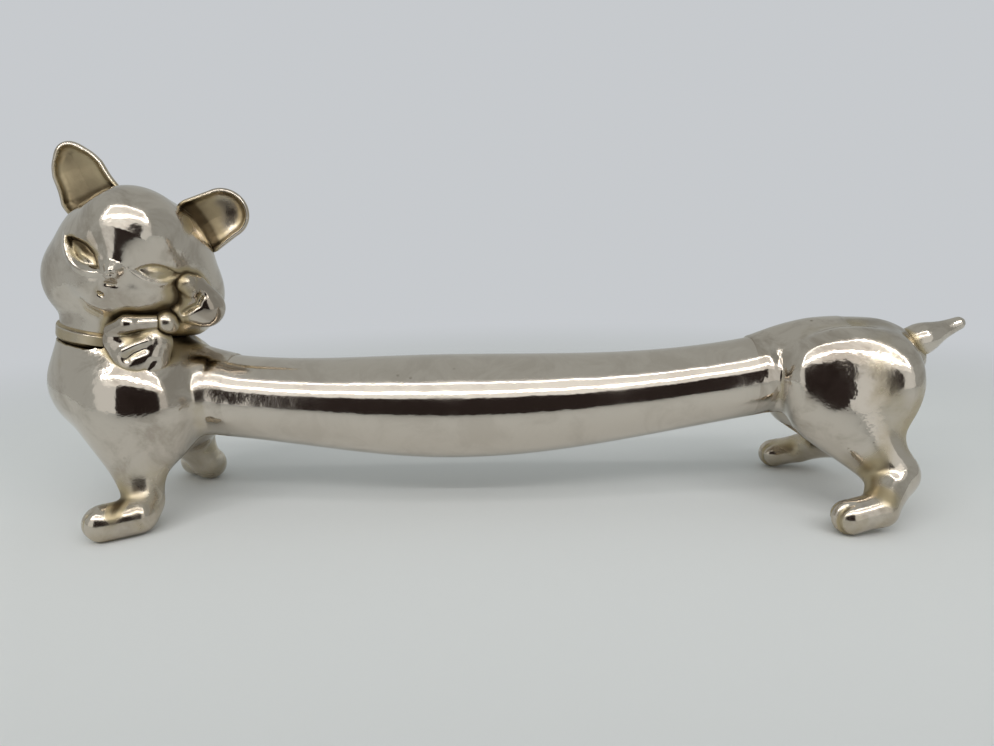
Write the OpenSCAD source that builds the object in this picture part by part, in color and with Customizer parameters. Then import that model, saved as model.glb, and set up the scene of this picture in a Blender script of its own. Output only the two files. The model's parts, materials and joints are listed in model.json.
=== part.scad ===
// Knife rest: a cat whose body is drawn out as the bar that carries the knife.
// +X runs along the bar to the tail, the face looks towards -Y, and the soles stand on Z = 0.

/* [Bar] */
// Length of the bar between its two joints
bar_l = 52.5; // [40:0.5:75]
// Thickness of the bar at its fattest place
bar_d = 10.7; // [9.5:0.1:12]
// Thickness of the bar at the front joint
bar_front_d = 8.6; // [7.6:0.1:9.6]
// Thickness of the bar at the rear joint
bar_rear_d = 8; // [7.2:0.1:9]
// Height of the bar's middle at its lowest place
bar_z = 10.25; // [9:0.05:12]
// Rise of the bar from there to the front joint
bar_front_rise = 1.4; // [0.5:0.1:2.4]
// Rise of the bar from there to the rear joint
bar_rear_rise = 2.55; // [1.5:0.05:3.5]

/* [Forequarters] */
// Length of the chest
chest_l = 15.2; // [14:0.1:17]
// Width of the chest
chest_w = 12.8; // [11.6:0.1:14.4]
// Height of the chest from its underside to its top
chest_h = 14.6; // [13.2:0.1:16.2]
// Height of the chest's middle
chest_z = 14.4; // [13.4:0.1:15.2]
// Distance from the front joint to the chest's middle
chest_set = 11.25; // [10:0.05:12.5]
// Distance from the front joint to the front feet
forefoot_set = 9.5; // [8:0.1:11]
// Height of the shoulder joint
foreleg_h = 10.7; // [9.7:0.1:11.8]
// Thickness of the foreleg at the shoulder
foreleg_d = 7.8; // [7:0.1:8.8]

/* [Hindquarters] */
// Length of the rump
rump_l = 13; // [11.8:0.1:14.6]
// Width of the rump
rump_w = 12.6; // [11.4:0.1:14.2]
// Height of the rump from its underside to its top
rump_h = 13.2; // [12:0.1:14.8]
// Height of the rump's middle
rump_z = 12.2; // [11.4:0.1:13.2]
// Distance from the rear joint to the rump's middle
rump_set = 10.6; // [9.6:0.1:11.6]
// Distance from the rear joint to the hind feet
hindfoot_set = 8; // [7:0.1:9.5]
// Height of the middle of the thigh
hindleg_h = 8.6; // [7.8:0.1:9.6]
// Thickness of the thigh
thigh_d = 7.8; // [7.1:0.1:8.8]

/* [Feet] */
// Distance between the middles of the left and the right feet
stance = 17.4; // [16:0.1:20]
// Length of a paw from heel to toe
paw_l = 6; // [5.4:0.1:6.8]
// Height of a paw
paw_h = 3.3; // [3:0.1:3.8]
// Width of a paw
paw_w = 3.4; // [3.1:0.1:3.9]

/* [Neck and collar] */
// Thickness of the neck under the head
neck_d = 11.4; // [10.8:0.1:12]
// Height of the collar's middle
collar_z = 18.6; // [17.8:0.1:19.6]
// Outer diameter of the collar
collar_d = 12.4; // [11.9:0.1:13.2]
// Height of the collar
collar_h = 1.6; // [1.3:0.1:2.1]
// Thickness of the collar's wall
collar_t = 1.3; // [1:0.1:1.6]
// Lean of the neck towards the tail, in degrees
neck_lean = 10; // [0:1:14]

/* [Head] */
// Width of the head over the cheeks
head_w = 16.8; // [15:0.1:18.5]
// Height of the head from chin to crown
head_h = 14.6; // [13:0.1:16]
// Depth of the head from the back of the skull to the muzzle
head_d = 15.2; // [14:0.1:17]
// Height of the head's middle above its seat
head_rise = 6.9; // [6.4:0.1:7.5]
// Turn of the face towards the tail, in degrees
head_turn = 17; // [0:1:40]
// Tilt of the head towards the tail, in degrees
head_tilt = 15; // [0:1:20]
// Length of an ear from its root to its tip
ear_l = 5.5; // [4.5:0.1:7]
// Width of an ear at its root
ear_w = 5.8; // [5:0.1:6.6]
// Thickness of an ear from its back to its lip
ear_t = 2; // [1.7:0.1:2.4]

/* [Bow] */
// Diameter of the bow's knot
knot_d = 2.7; // [2.2:0.1:3.2]
// Length of the lower loop
lower_loop_l = 6.6; // [5.9:0.1:7.4]
// Width of the lower loop
lower_loop_w = 5.4; // [4.8:0.1:6.1]
// Length of the upper loop
upper_loop_l = 5.8; // [5:0.1:6.4]
// Width of the upper loop
upper_loop_w = 4.4; // [3.9:0.1:5]
// Thickness of a loop
loop_t = 3.4; // [3:0.1:3.8]

/* [Tail] */
// Length of the tail from its seat to its tip
tail_l = 6.3; // [5:0.1:9]
// Thickness of the tail at its root
tail_root_d = 3.6; // [3:0.1:4.2]
// Thickness of the tail at its tip
tail_tip_d = 1.5; // [1:0.1:2]
// Rise of the tail, in degrees
tail_rise = 27; // [15:1:40]

/* [Soldered joints] */
// Gap for the solder round a spigot
solder_gap = 0.05; // [0.03:0.01:0.1]
// Diameter of the bar's spigots
bar_spigot_d = 4.4; // [3.6:0.1:5]
// Length of the bar's spigots
bar_spigot_l = 5; // [3.5:0.1:6]
// Diameter of the head's spigot
neck_spigot_d = 6; // [5:0.1:7]
// Length of the head's spigot
neck_spigot_l = 4; // [3:0.1:5]
// Diameter of the pegs of the tail and the ears
peg_d = 1.4; // [1.1:0.1:1.7]
// Length of the pegs of the tail and the ears
peg_l = 2; // [1.5:0.1:2.5]

/* [Hidden] */

// Sizes of the triangles of the modelled surfaces
body_cell = 0.98;
head_cell = 0.75;
small_cell = 0.42;
// How far a cutting solid runs past what it cuts
overrun = 12;
// How far solder lets one modelled surface lie over another
seat_gap = 0.1;
// How softly flesh, neck, leg, paw and face run into each other
flesh_blend = 2.4;
neck_blend = 2;
paw_blend = 0.9;
face_blend = 1.8;
nose_blend = 1.2;
rim_blend = 0.5;
seat_blend = 1.3;
round_fn = 64;
bar_sides = 28;
bar_rings = 24;
tiny = 0.000001;

// The joints along the bar, with the middle of the whole length at X = 0
tail_seat_share = 0.15;
tail_root_shares = [0.61, 0.36];
tail_reach = [rump_l / 2 * tail_root_shares.x, rump_h / 2 * tail_root_shares.y];
tail_seat = rump_l / 2 * tail_seat_share;
tail_tip_x = rump_set + tail_reach.x + (tail_seat + tail_l - tail_tip_d / 2) * cos(tail_rise) + tail_tip_d / 2;
overall_l = chest_l / 2 + chest_set + bar_l + tail_tip_x;
front_x = chest_l / 2 + chest_set - overall_l / 2;
rear_x = front_x + bar_l;
front_z = bar_z + bar_front_rise;
rear_z = bar_z + bar_rear_rise;
low_share = 0.45;
fat_share = 0.43;
low_x = front_x + bar_l * low_share;
fat_x = front_x + bar_l * fat_share;

chest_x = front_x - chest_set;
rump_x = rear_x + rump_set;

// Height of the bar's middle, and its thickness, at a place along it
function bar_height(x) =
    x < low_x ? bar_z + bar_front_rise * pow((low_x - x) / (low_x - front_x), 2)
              : bar_z + bar_rear_rise * pow((x - low_x) / (rear_x - low_x), 2);
function bar_radius(x) =
    let (slim = x < fat_x ? bar_front_d : bar_rear_d,
         away = x < fat_x ? (fat_x - x) / (fat_x - front_x) : (x - fat_x) / (rear_x - fat_x))
    (slim + (bar_d - slim) * pow(cos(min(away, 1) * 90), 2)) / 2;

// A frame is three unit directions, right, up and outwards, and the place they start from
function facing(turn, tilt, nod = 0) =
    let (right = [cos(turn), sin(turn), 0], out = [sin(turn), -cos(turn), 0], up = [0, 0, 1],
         r = cos(tilt) * right - sin(tilt) * up, u = sin(tilt) * right + cos(tilt) * up)
    [r, cos(nod) * u + sin(nod) * out, cos(nod) * out - sin(nod) * u];
function outside(frame, p) = frame[1] + p.x * frame[0][0] + p.y * frame[0][1] + p.z * frame[0][2];
function inside(frame, p) = let (q = p - frame[1]) [q * frame[0][0], q * frame[0][1], q * frame[0][2]];
module set_in(frame) {
    a = frame[0];
    multmatrix([[a[0].x, a[1].x, a[2].x, frame[1].x],
                [a[0].y, a[1].y, a[2].y, frame[1].y],
                [a[0].z, a[1].z, a[2].z, frame[1].z]]) children();
}

// Lumps of metal: an egg is [blend, middle, radii], a bone is [blend, from, to, radius, radius].
// Each gives the distance of a point from its skin, below nought inside the metal.
function egg(p, c, r) =
    let (q = p - c, n = norm([q.x / r.x, q.y / r.y, q.z / r.z]),
         g = norm([q.x / (r.x * r.x), q.y / (r.y * r.y), q.z / (r.z * r.z)]))
    n * (n - 1) / max(g, tiny);
function bone(p, a, b, ra, rb) =
    let (ab = b - a, t = max(0, min(1, (p - a) * ab / (ab * ab)))) norm(p - a - t * ab) - ra - t * (rb - ra);
function lump(p, s) = len(s) == 3 ? egg(p, s[1], s[2]) : bone(p, s[1], s[2], s[3], s[4]);
function meld(a, b, k) = let (t = max(k - abs(a - b), 0) / k) min(a, b) - t * t * t * k / 6;
function carve(a, b, k) = -meld(-a, b, k);
function flesh(p, lumps, i = 1, d = undef) =
    let (so_far = d == undef ? lump(p, lumps[0]) : d)
    i == len(lumps) ? so_far : flesh(p, lumps, i + 1, meld(so_far, lump(p, lumps[i]), lumps[i][0]));
// A chain of bones from a list of [place, radius]
function chain(joints, k) =
    [for (i = [1:len(joints) - 1]) [k, joints[i - 1][0], joints[i][0], joints[i - 1][1], joints[i][1]]];
// Places as shares of the lengths that they follow, from a starting place
function placed(shares, from, size, r) =
    [for (s = shares) [from + [s[0] * size.x, s[1] * size.y, s[2] * size.z], s[3] * r]];
// A place or a size as shares of three lengths
function shared(s, size) = [s[0] * size.x, s[1] * size.y, s[2] * size.z];
function low_of(lumps, a) =
    min([for (s = lumps) len(s) == 3 ? s[1][a] - s[2][a] : min(s[1][a] - s[3], s[2][a] - s[4])]);
function high_of(lumps, a) =
    max([for (s = lumps) len(s) == 3 ? s[1][a] + s[2][a] : max(s[1][a] + s[3], s[2][a] + s[4])]);
// The box of some lumps that are mirrored across one axis, with room all round
function box_of(lumps, across, room) =
    let (low = [for (a = [0:2]) low_of(lumps, a) - room], high = [for (a = [0:2]) high_of(lumps, a) + room])
    [[for (a = [0:2]) a == across ? -high[a] : low[a]], high];

// The skin of a field of distances, as points and triangles: the field is read on a lattice of cells,
// each cell that the skin crosses gets one point, and the points of neighbouring cells are joined.
ends = [[0, 1], [2, 3], [4, 5], [6, 7], [0, 2], [1, 3], [4, 6], [5, 7], [0, 4], [1, 5], [2, 6], [3, 7]];
corners = [for (m = [0:7]) [m % 2, floor(m / 2) % 2, floor(m / 4)]];
block = 3;
function total(v, i = 0, s = 0) = i == len(v) ? s : total(v, i + 1, s + v[i]);
function running(v) = [for (i = 0, s = 0; i <= len(v); s = s + (i < len(v) ? v[i] : 0), i = i + 1) s];
function onto_skin(f, p, step, reach) =
    let (d = f(p), g = [f(p + [step, 0, 0]) - d, f(p + [0, step, 0]) - d, f(p + [0, 0, step]) - d] / step)
    let (move = g * d / max(g * g, 1 / 4)) p - move * min(1, reach / max(norm(move), tiny));
function two_faces(points, q, within) =
    let (r = within ? [q[3], q[2], q[1], q[0]] : q,
         short = norm(points[r[0]] - points[r[2]]) < norm(points[r[1]] - points[r[3]]))
    short ? [[r[0], r[1], r[2]], [r[0], r[2], r[3]]] : [[r[1], r[2], r[3]], [r[1], r[3], r[0]]];
function skin(f, box, cell) =
    let (
        lo = box[0],
        n = [for (a = [0:2]) ceil((box[1][a] - lo[a]) / cell)],
        coarse = [for (i = [0:n.x / block]) [for (j = [0:n.y / block]) [for (k = [0:n.z / block])
            f(lo + cell * (block * [i, j, k] + [1, 1, 1] * (block - 1) / 2))]]],
        depth = [for (i = [0:n.x]) [for (j = [0:n.y]) [for (k = [0:n.z])
            let (c = coarse[floor(i / block)][floor(j / block)][floor(k / block)])
            abs(c) > block * cell ? c : f(lo + cell * [i, j, k])]]],
        metal = [for (a = depth) [for (b = a) [for (c = b) c < 0 ? 1 : 0]]],
        crossed = [for (i = [0:n.x - 1]) [for (j = [0:n.y - 1]) [for (k = [0:n.z - 1])
            let (s = total([for (c = corners) metal[i + c.x][j + c.y][k + c.z]])) s > 0 && s < 8 ? 1 : 0]]],
        points = [for (i = [0:n.x - 1]) for (j = [0:n.y - 1]) for (k = [0:n.z - 1]) if (crossed[i][j][k] == 1)
            let (w = [for (c = corners) depth[i + c.x][j + c.y][k + c.z]],
                 hits = [for (e = ends) if ((w[e[0]] < 0) != (w[e[1]] < 0))
                     corners[e[0]] + w[e[0]] / (w[e[0]] - w[e[1]]) * (corners[e[1]] - corners[e[0]])])
            onto_skin(f, lo + cell * ([i, j, k] + total(hits, 0, [0, 0, 0]) / len(hits)), cell / 20, cell / 3)],
        within = [for (a = crossed) [for (b = a) running(b)]],
        before = running([for (a = within) for (b = a) b[len(b) - 1]]),
        id = function (i, j, k) before[i * n.y + j] + within[i][j][k],
        faces = [
            for (i = [0:n.x - 1]) for (j = [1:n.y - 1]) for (k = [1:n.z - 1])
                if (metal[i][j][k] != metal[i + 1][j][k])
                    each two_faces(points, [id(i, j - 1, k - 1), id(i, j, k - 1), id(i, j, k), id(i, j - 1, k)],
                        metal[i][j][k] == 1),
            for (i = [1:n.x - 1]) for (j = [0:n.y - 1]) for (k = [1:n.z - 1])
                if (metal[i][j][k] != metal[i][j + 1][k])
                    each two_faces(points, [id(i - 1, j, k - 1), id(i - 1, j, k), id(i, j, k), id(i, j, k - 1)],
                        metal[i][j][k] == 1),
            for (i = [1:n.x - 1]) for (j = [1:n.y - 1]) for (k = [0:n.z - 1])
                if (metal[i][j][k] != metal[i][j][k + 1])
                    each two_faces(points, [id(i - 1, j - 1, k), id(i, j - 1, k), id(i, j, k), id(i - 1, j, k)],
                        metal[i][j][k] == 1)]
    )
    [points, faces];

// Forequarters: chest, neck, the two forelegs with their paws, and the shoulder of the bar
forefoot_x = front_x - forefoot_set;
foreleg_shares = [[-0.02, 0.4, 1, 1], [0.22, 0.72, 0.57, 0.47], [0.17, 0.92, 0.2, 0.46]];
forepaw_shares = [[0.3, 0.92, 0.63, 1.05], [-0.12, 1.1, 0.46, 0.97]];
shoulder_shares = [[0.37, 0.42, -0.37], [0.72, 0.83, 0.88]];
neck_axis = [sin(neck_lean), 0, cos(neck_lean)];
neck_side = [cos(neck_lean), 0, -sin(neck_lean)];
collar_at = [chest_x, 0, collar_z];
neck_root_share = 0.31;
neck_root_swell_share = 1.08;
neck_root = collar_at - neck_axis * chest_h * neck_root_share;
neck_top = collar_at + neck_axis * collar_h;
withers_shares = [0.6, 1.08];
half_chest = [chest_l, chest_w, chest_h] / 2;
fore_lumps = concat(
    [[flesh_blend, [chest_x, 0, chest_z], half_chest],
     [flesh_blend, [chest_x, 0, chest_z] + shared(shoulder_shares[0], half_chest), shared(shoulder_shares[1], half_chest)],
     [neck_blend, neck_root, neck_top, neck_d / 2 * neck_root_swell_share, neck_d / 2]],
    chain(placed(foreleg_shares, [forefoot_x, 0, 0], [foreleg_h, stance / 2, foreleg_h], foreleg_d / 2), flesh_blend),
    chain(placed(forepaw_shares, [forefoot_x, 0, 0], [paw_l, stance / 2, paw_h], paw_w / 2), paw_blend),
    [[flesh_blend, [chest_x + half_chest.x * withers_shares[0], 0, front_z * withers_shares[1]],
      [front_x + bar_front_d / 2, 0, bar_height(front_x + bar_front_d / 2)], bar_front_d / 2, bar_front_d / 2]]);

// Hindquarters: rump, the two thighs, hocks and paws, and the shoulder of the bar
hindfoot_x = rear_x + hindfoot_set;
haunch_shares = [[-0.55, 0.31, 0.02], [0.72, 0.635, 0.91]];
thigh_shares = [[0.16, 0.42, 1, 1], [0.46, 0.69, 0.51, 0.56]];
hock_shares = [[0.46, 0.69, 0.51, 0.56], [0.16, 1.06, 0.26, 0.4]];
hindpaw_shares = [[0.23, 1.06, 0.66, 0.92], [-0.24, 1.09, 0.45, 0.95]];
croup_shares = [-0.72, 1.09];
half_rump = [rump_l, rump_w, rump_h] / 2;
hind_lumps = concat(
    [[flesh_blend, [rump_x, 0, rump_z], half_rump],
     [flesh_blend, [rump_x, 0, rump_z] + shared(haunch_shares[0], half_rump), shared(haunch_shares[1], half_rump)]],
    chain(placed(thigh_shares, [hindfoot_x, 0, 0], [hindleg_h, stance / 2, hindleg_h], thigh_d / 2), flesh_blend),
    chain(placed(hock_shares, [hindfoot_x, 0, 0], [hindleg_h, stance / 2, hindleg_h], thigh_d / 2), paw_blend),
    chain(placed(hindpaw_shares, [hindfoot_x, 0, 0], [paw_l, stance / 2, paw_h], paw_w / 2), paw_blend),
    [[flesh_blend, [rump_x + half_rump.x * croup_shares[0], 0, rear_z * croup_shares[1]],
      [rear_x - bar_rear_d / 2, 0, bar_height(rear_x - bar_rear_d / 2)], bar_rear_d / 2, bar_rear_d / 2]]);

// Head: skull, cheeks, muzzle, bridge and tip of the nose, in shares of half the head's size
head_shift_share = 0.19;
head_forward_share = 0.1;
head_seat = collar_at + neck_axis * collar_h / 2;
head_at = head_seat + neck_axis * head_rise + neck_side * head_w / 2 * head_shift_share
    - [0, 1, 0] * head_w / 2 * head_forward_share;
head_nod = 2;
head_frame = [facing(head_turn, head_tilt, head_nod), head_at];
half_head = [head_w, head_h, head_d] / 2;
skull_shares = [[0, 0.01, 0.07], [0.835, 0.905, 0.855]];
cheek_shares = [[0.42, -0.36, -0.1], [0.57, 0.67, 0.645]];
muzzle_shares = [[0, -0.42, 0.51], [0.48, 0.42, 0.43]];
forehead_shares = [[0, 0.42, 0.49], [0.51, 0.55, 0.54]];
bridge_shares = [[0, 0.22, 0.76, 0.27], [0, -0.05, 0.94, 0.09]];
nose_shares = [[0, -0.15, 0.94], [0.09, 0.1, 0.08]];
eye_shares = [0.38, 0.035, 0.88];
eye_size_shares = [0.22, 0.12, 0.11];
function of_head(s) = shared(s, half_head);
function egg_of(s, k) = [k, of_head(s[0]), of_head(s[1])];
head_lumps = concat(
    [egg_of(skull_shares, face_blend), egg_of(cheek_shares, face_blend), egg_of(muzzle_shares, face_blend),
     egg_of(forehead_shares, face_blend)],
    chain(placed(bridge_shares, [0, 0, 0], half_head, half_head.x), nose_blend),
    [egg_of(nose_shares, rim_blend)]);
// The back of the neck, from the head's seat up into the skull
nape = [neck_blend, inside(head_frame, head_seat), [0, 0, 0], neck_d / 2, neck_d / 2];
eye_at = of_head(eye_shares);
eye_r = of_head(eye_size_shares);

// The whole figure's fields, each from a point in the part's own frame
function forequarters_field(p) = flesh([p.x, abs(p.y), p.z], fore_lumps);
function hindquarters_field(p) = flesh([p.x, abs(p.y), p.z], hind_lumps);
function head_field(q) =
    meld(flesh([abs(q.x), q.y, q.z], head_lumps), bone(q, nape[1], nape[2], nape[3], nape[4]), nape[0]);
function face_field(q) =
    carve(head_field(q), egg([abs(q.x), q.y, q.z], eye_at, eye_r), rim_blend);
function collar_field(p) =
    let (q = p - collar_at, up = q * neck_axis) max(norm(q - up * neck_axis) - collar_d / 2, abs(up) - collar_h / 2);

// Ears: a shell with a rolled lip, in a frame of its own on the head
ear_root_shares = [0.58, 0.66, -0.1];
ear_splay = 38;
ear_cup_shares = [0.6, 0.38, 0.7];
ear_lip_share = 0.2;
ear_cup_set_shares = [0.42, 0.45];
function ear_frame(side) =
    [[[cos(ear_splay), -side * sin(ear_splay), 0], [side * sin(ear_splay), cos(ear_splay), 0], [0, 0, 1]],
     [side * ear_root_shares.x * half_head.x, ear_root_shares.y * half_head.y, ear_root_shares.z * half_head.z]];
function ear_field(p, side) =
    let (r = [ear_w / 2, ear_l, ear_t],
         shell = carve(egg(p, [0, 0, 0], r), ear_t * ear_lip_share - p.z, rim_blend),
         cup = egg(p, [0, ear_l * ear_cup_set_shares.x, ear_t * ear_cup_set_shares.y],
             [r.x * ear_cup_shares.x, r.y * ear_cup_shares.y, r.z * ear_cup_shares.z]))
    carve(carve(shell, cup, rim_blend), head_field(outside(ear_frame(side), p)) - seat_gap, seat_blend);

// Bow: a knot outside the collar and above it, and two loops laid on the cheek, the collar and the chest
knot_turn = 33.5;
knot_out_share = 1.3;
knot_up_share = 1.6;
knot_at = collar_at + neck_axis * collar_h * knot_up_share
    + (neck_side * cos(knot_turn) - [0, 1, 0] * sin(knot_turn)) * collar_d / 2 * knot_out_share;
bow_turn = 20;
knot_frame = [facing(bow_turn, 0), knot_at];
lower_shares = [-0.45, -0.36, 0.02];
upper_shares = [0.45, 0.35, -0.2];
lower_turn = 20;
lower_tilt = 52;
upper_turn = 30;
upper_tilt = 8;
lower_frame = [facing(lower_turn, lower_tilt),
    outside(knot_frame, [lower_shares.x * lower_loop_l, lower_shares.y * lower_loop_l, lower_shares.z * loop_t])];
upper_frame = [facing(upper_turn, upper_tilt),
    outside(knot_frame, [upper_shares.x * upper_loop_l, upper_shares.y * upper_loop_l, upper_shares.z * loop_t])];
function behind(p) = min(head_field(inside(head_frame, p)), forequarters_field(p), collar_field(p));
function loop_field(q, frame, size) =
    let (p = outside(frame, q))
    carve(carve(egg(q, [0, 0, 0], size / 2), behind(p) - seat_gap, seat_blend),
        norm(p - knot_at) - knot_d / 2 - seat_gap, rim_blend);
function around(size) = [-size, size];

module bar() {
    xs = [for (i = [0:bar_rings]) front_x + bar_l * i / bar_rings];
    points = [for (x = xs) for (s = [0:bar_sides - 1])
        let (a = s * 360 / bar_sides) [x, bar_radius(x) * sin(a), bar_height(x) + bar_radius(x) * cos(a)]];
    sides = [for (i = [0:bar_rings - 1]) for (s = [0:bar_sides - 1])
        let (a = i * bar_sides + s, b = i * bar_sides + (s + 1) % bar_sides)
        each [[a, b, b + bar_sides], [a, b + bar_sides, a + bar_sides]]];
    front = [for (s = [bar_sides - 1:-1:0]) s];
    rear = [for (s = [0:bar_sides - 1]) bar_rings * bar_sides + s];
    color("silver") union() {
        polyhedron(points, concat(sides, [front, rear]));
        translate([front_x - bar_spigot_l, 0, front_z]) rotate([0, 90, 0])
            cylinder(d = bar_spigot_d, h = bar_spigot_l * 2, $fn = round_fn);
        translate([rear_x - bar_spigot_l, 0, rear_z]) rotate([0, 90, 0])
            cylinder(d = bar_spigot_d, h = bar_spigot_l * 2, $fn = round_fn);
    }
}

// A bore for a bar's spigot, open at the joint and running into the quarter
module spigot_bore(x, z) {
    translate([x - bar_spigot_l - solder_gap, 0, z]) rotate([0, 90, 0])
        cylinder(d = bar_spigot_d + 2 * solder_gap, h = (bar_spigot_l + solder_gap) * 2, $fn = round_fn);
}

module below_ground() {
    translate([-overall_l, -overall_l, -overrun]) cube([overall_l * 2, overall_l * 2, overrun]);
}

module forequarters() {
    surface = skin(function (p) forequarters_field(p), box_of(fore_lumps, 1, body_cell), body_cell);
    seat_r = collar_d / 2 + solder_gap;
    boss_r = collar_d / 2 - collar_t - solder_gap;
    bore_r = neck_spigot_d / 2 + solder_gap;
    color("silver") difference() {
        polyhedron(surface[0], surface[1]);
        below_ground();
        translate([front_x, -overall_l, -overrun]) cube([overall_l, overall_l * 2, overall_l]);
        translate(collar_at) rotate([0, neck_lean, 0]) translate([0, 0, -collar_h / 2]) rotate_extrude($fn = round_fn)
            polygon([[boss_r, 0], [seat_r, 0], [seat_r, collar_h], [seat_r + overrun, collar_h],
                     [seat_r + overrun, collar_h + overrun], [0, collar_h + overrun],
                     [0, collar_h - neck_spigot_l - solder_gap], [bore_r, collar_h - neck_spigot_l - solder_gap],
                     [bore_r, collar_h], [boss_r, collar_h]]);
        spigot_bore(front_x, front_z);
    }
}

module hindquarters() {
    surface = skin(function (p) hindquarters_field(p), box_of(hind_lumps, 1, body_cell), body_cell);
    color("silver") difference() {
        polyhedron(surface[0], surface[1]);
        below_ground();
        translate([rear_x - overall_l, -overall_l, -overrun]) cube([overall_l, overall_l * 2, overall_l]);
        spigot_bore(rear_x, rear_z);
        on_tail_axis() rotate_extrude($fn = round_fn)
            polygon([[0, -peg_l - solder_gap], [peg_d / 2 + solder_gap, -peg_l - solder_gap], [peg_d / 2 + solder_gap, 0],
                     [tail_root_d / 2 + solder_gap, 0], [tail_root_d / 2 + solder_gap, tail_l], [0, tail_l]]);
    }
}

module on_tail_axis() {
    translate([rump_x + tail_reach.x, 0, rump_z + tail_reach.y]) rotate([0, 90 - tail_rise, 0])
        translate([0, 0, tail_seat]) children();
}

module tail() {
    tip_r = tail_tip_d / 2;
    steps = 6;
    color("silver") on_tail_axis() rotate_extrude($fn = round_fn)
        polygon(concat([[0, -peg_l], [peg_d / 2, -peg_l], [peg_d / 2, 0], [tail_root_d / 2, 0]],
            [for (i = [0:steps]) let (a = i * 90 / steps) [tip_r * cos(a), tail_l - tip_r + tip_r * sin(a)]]));
}

module head() {
    surface = skin(function (p) face_field(p), box_of(concat(head_lumps, [nape]), 0, head_cell), head_cell);
    color("silver") difference() {
        union() {
            difference() {
                set_in(head_frame) polyhedron(surface[0], surface[1]);
                translate(head_seat) rotate([0, neck_lean, 0]) translate([-head_w, -head_w, -head_w])
                    cube([head_w * 2, head_w * 2, head_w]);
            }
            translate(head_seat) rotate([0, neck_lean, 0]) translate([0, 0, -neck_spigot_l])
                cylinder(d = neck_spigot_d, h = neck_spigot_l + head_rise / 2, $fn = round_fn);
        }
        for (side = [-1, 1]) set_in(head_frame) set_in(ear_frame(side)) ear_peg(solder_gap);
    }
}

// The peg that holds an ear, from its root into the skull
module ear_peg(gap) {
    translate([0, 0, -ear_t / 2]) rotate([90, 0, 0]) translate([0, 0, -ear_l / 4])
        cylinder(d = peg_d + 2 * gap, h = ear_l / 4 + peg_l + gap, $fn = round_fn);
}

module ear(side) {
    size = [ear_w / 2, ear_l, ear_t] + [1, 1, 1] * small_cell;
    surface = skin(function (p) ear_field(p, side), around(size), small_cell);
    color("silver") set_in(head_frame) set_in(ear_frame(side)) union() {
        polyhedron(surface[0], surface[1]);
        ear_peg(0);
    }
}

module ear_right() { ear(-1); }
module ear_left() { ear(1); }

module collar() {
    edge = collar_h / 6;
    inner = collar_d / 2 - collar_t;
    outer = collar_d / 2;
    color("silver") translate(collar_at) rotate([0, neck_lean, 0]) rotate_extrude($fn = round_fn)
        polygon([[inner, -collar_h / 2], [outer - edge, -collar_h / 2], [outer, -collar_h / 2 + edge],
                 [outer, collar_h / 2 - edge], [outer - edge, collar_h / 2], [inner, collar_h / 2]]);
}

module bow_knot() {
    size = [1, 1, 1] * (knot_d / 2 + small_cell);
    surface = skin(function (p) carve(norm(p) - knot_d / 2, behind(outside(knot_frame, p)) - seat_gap, rim_blend),
        around(size), small_cell);
    color("silver") set_in(knot_frame) polyhedron(surface[0], surface[1]);
}

module bow_loop(frame, size) {
    room = size / 2 + [1, 1, 1] * small_cell;
    surface = skin(function (p) loop_field(p, frame, size), around(room), small_cell);
    color("silver") set_in(frame) polyhedron(surface[0], surface[1]);
}

module bow_lower_loop() { bow_loop(lower_frame, [lower_loop_w, lower_loop_l, loop_t]); }
module bow_upper_loop() { bow_loop(upper_frame, [upper_loop_w, upper_loop_l, loop_t]); }

bar();
forequarters();
hindquarters();
head();
ear_right();
ear_left();
collar();
bow_knot();
bow_lower_loop();
bow_upper_loop();
tail();
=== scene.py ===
# %% [markdown]
# # A knife rest in the shape of a cat
# The real object is a small white metal casting with a bright nickel plate. A cat's body is drawn
# out into a round bar, and a table knife lies across that bar with its blade off the cloth. The
# castings are soldered to each other and then plated, so the pieces read as one smooth skin. The
# frame that is loaded here gives every piece its place, and nothing in this file moves it.

# %% Load the frame
import json
import math
import bpy
import bmesh
import numpy as np
from mathutils import Matrix, Vector

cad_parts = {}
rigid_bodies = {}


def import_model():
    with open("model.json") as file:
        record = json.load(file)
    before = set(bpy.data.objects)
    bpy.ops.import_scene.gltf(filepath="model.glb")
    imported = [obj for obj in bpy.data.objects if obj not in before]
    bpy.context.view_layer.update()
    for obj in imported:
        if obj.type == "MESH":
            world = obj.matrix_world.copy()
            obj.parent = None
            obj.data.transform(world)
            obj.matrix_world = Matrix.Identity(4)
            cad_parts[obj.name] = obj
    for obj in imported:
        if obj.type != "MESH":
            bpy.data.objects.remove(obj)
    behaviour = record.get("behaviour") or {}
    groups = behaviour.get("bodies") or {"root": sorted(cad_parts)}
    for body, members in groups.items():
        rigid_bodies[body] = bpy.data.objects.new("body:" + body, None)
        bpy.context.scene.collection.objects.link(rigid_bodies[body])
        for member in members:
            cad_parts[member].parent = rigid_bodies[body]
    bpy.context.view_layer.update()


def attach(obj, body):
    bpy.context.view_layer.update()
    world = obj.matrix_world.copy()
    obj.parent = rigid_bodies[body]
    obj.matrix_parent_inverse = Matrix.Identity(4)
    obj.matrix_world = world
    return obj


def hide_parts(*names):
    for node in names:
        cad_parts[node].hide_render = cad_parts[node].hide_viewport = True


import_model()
MM = 0.001


# %% [markdown]
# ## Shapes from lumps
# A founder models such a cat in wax: lumps are pressed together and the joins are smoothed with a
# warm tool. The same can be done with distances. Every lump says how far a point lies from its
# skin, and a soft minimum melts one lump into the next. Sculpting by hand in Blender would also
# give the form, but a field of distances keeps every size as a number that can be changed, and it
# gives the exact slope of the skin, which polished metal shows more plainly than its outline does.

# %% Lumps
TINY = 1e-9  # keeps a division from meeting a nought


def at(*xyz):
    return np.array(xyz, float)


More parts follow.
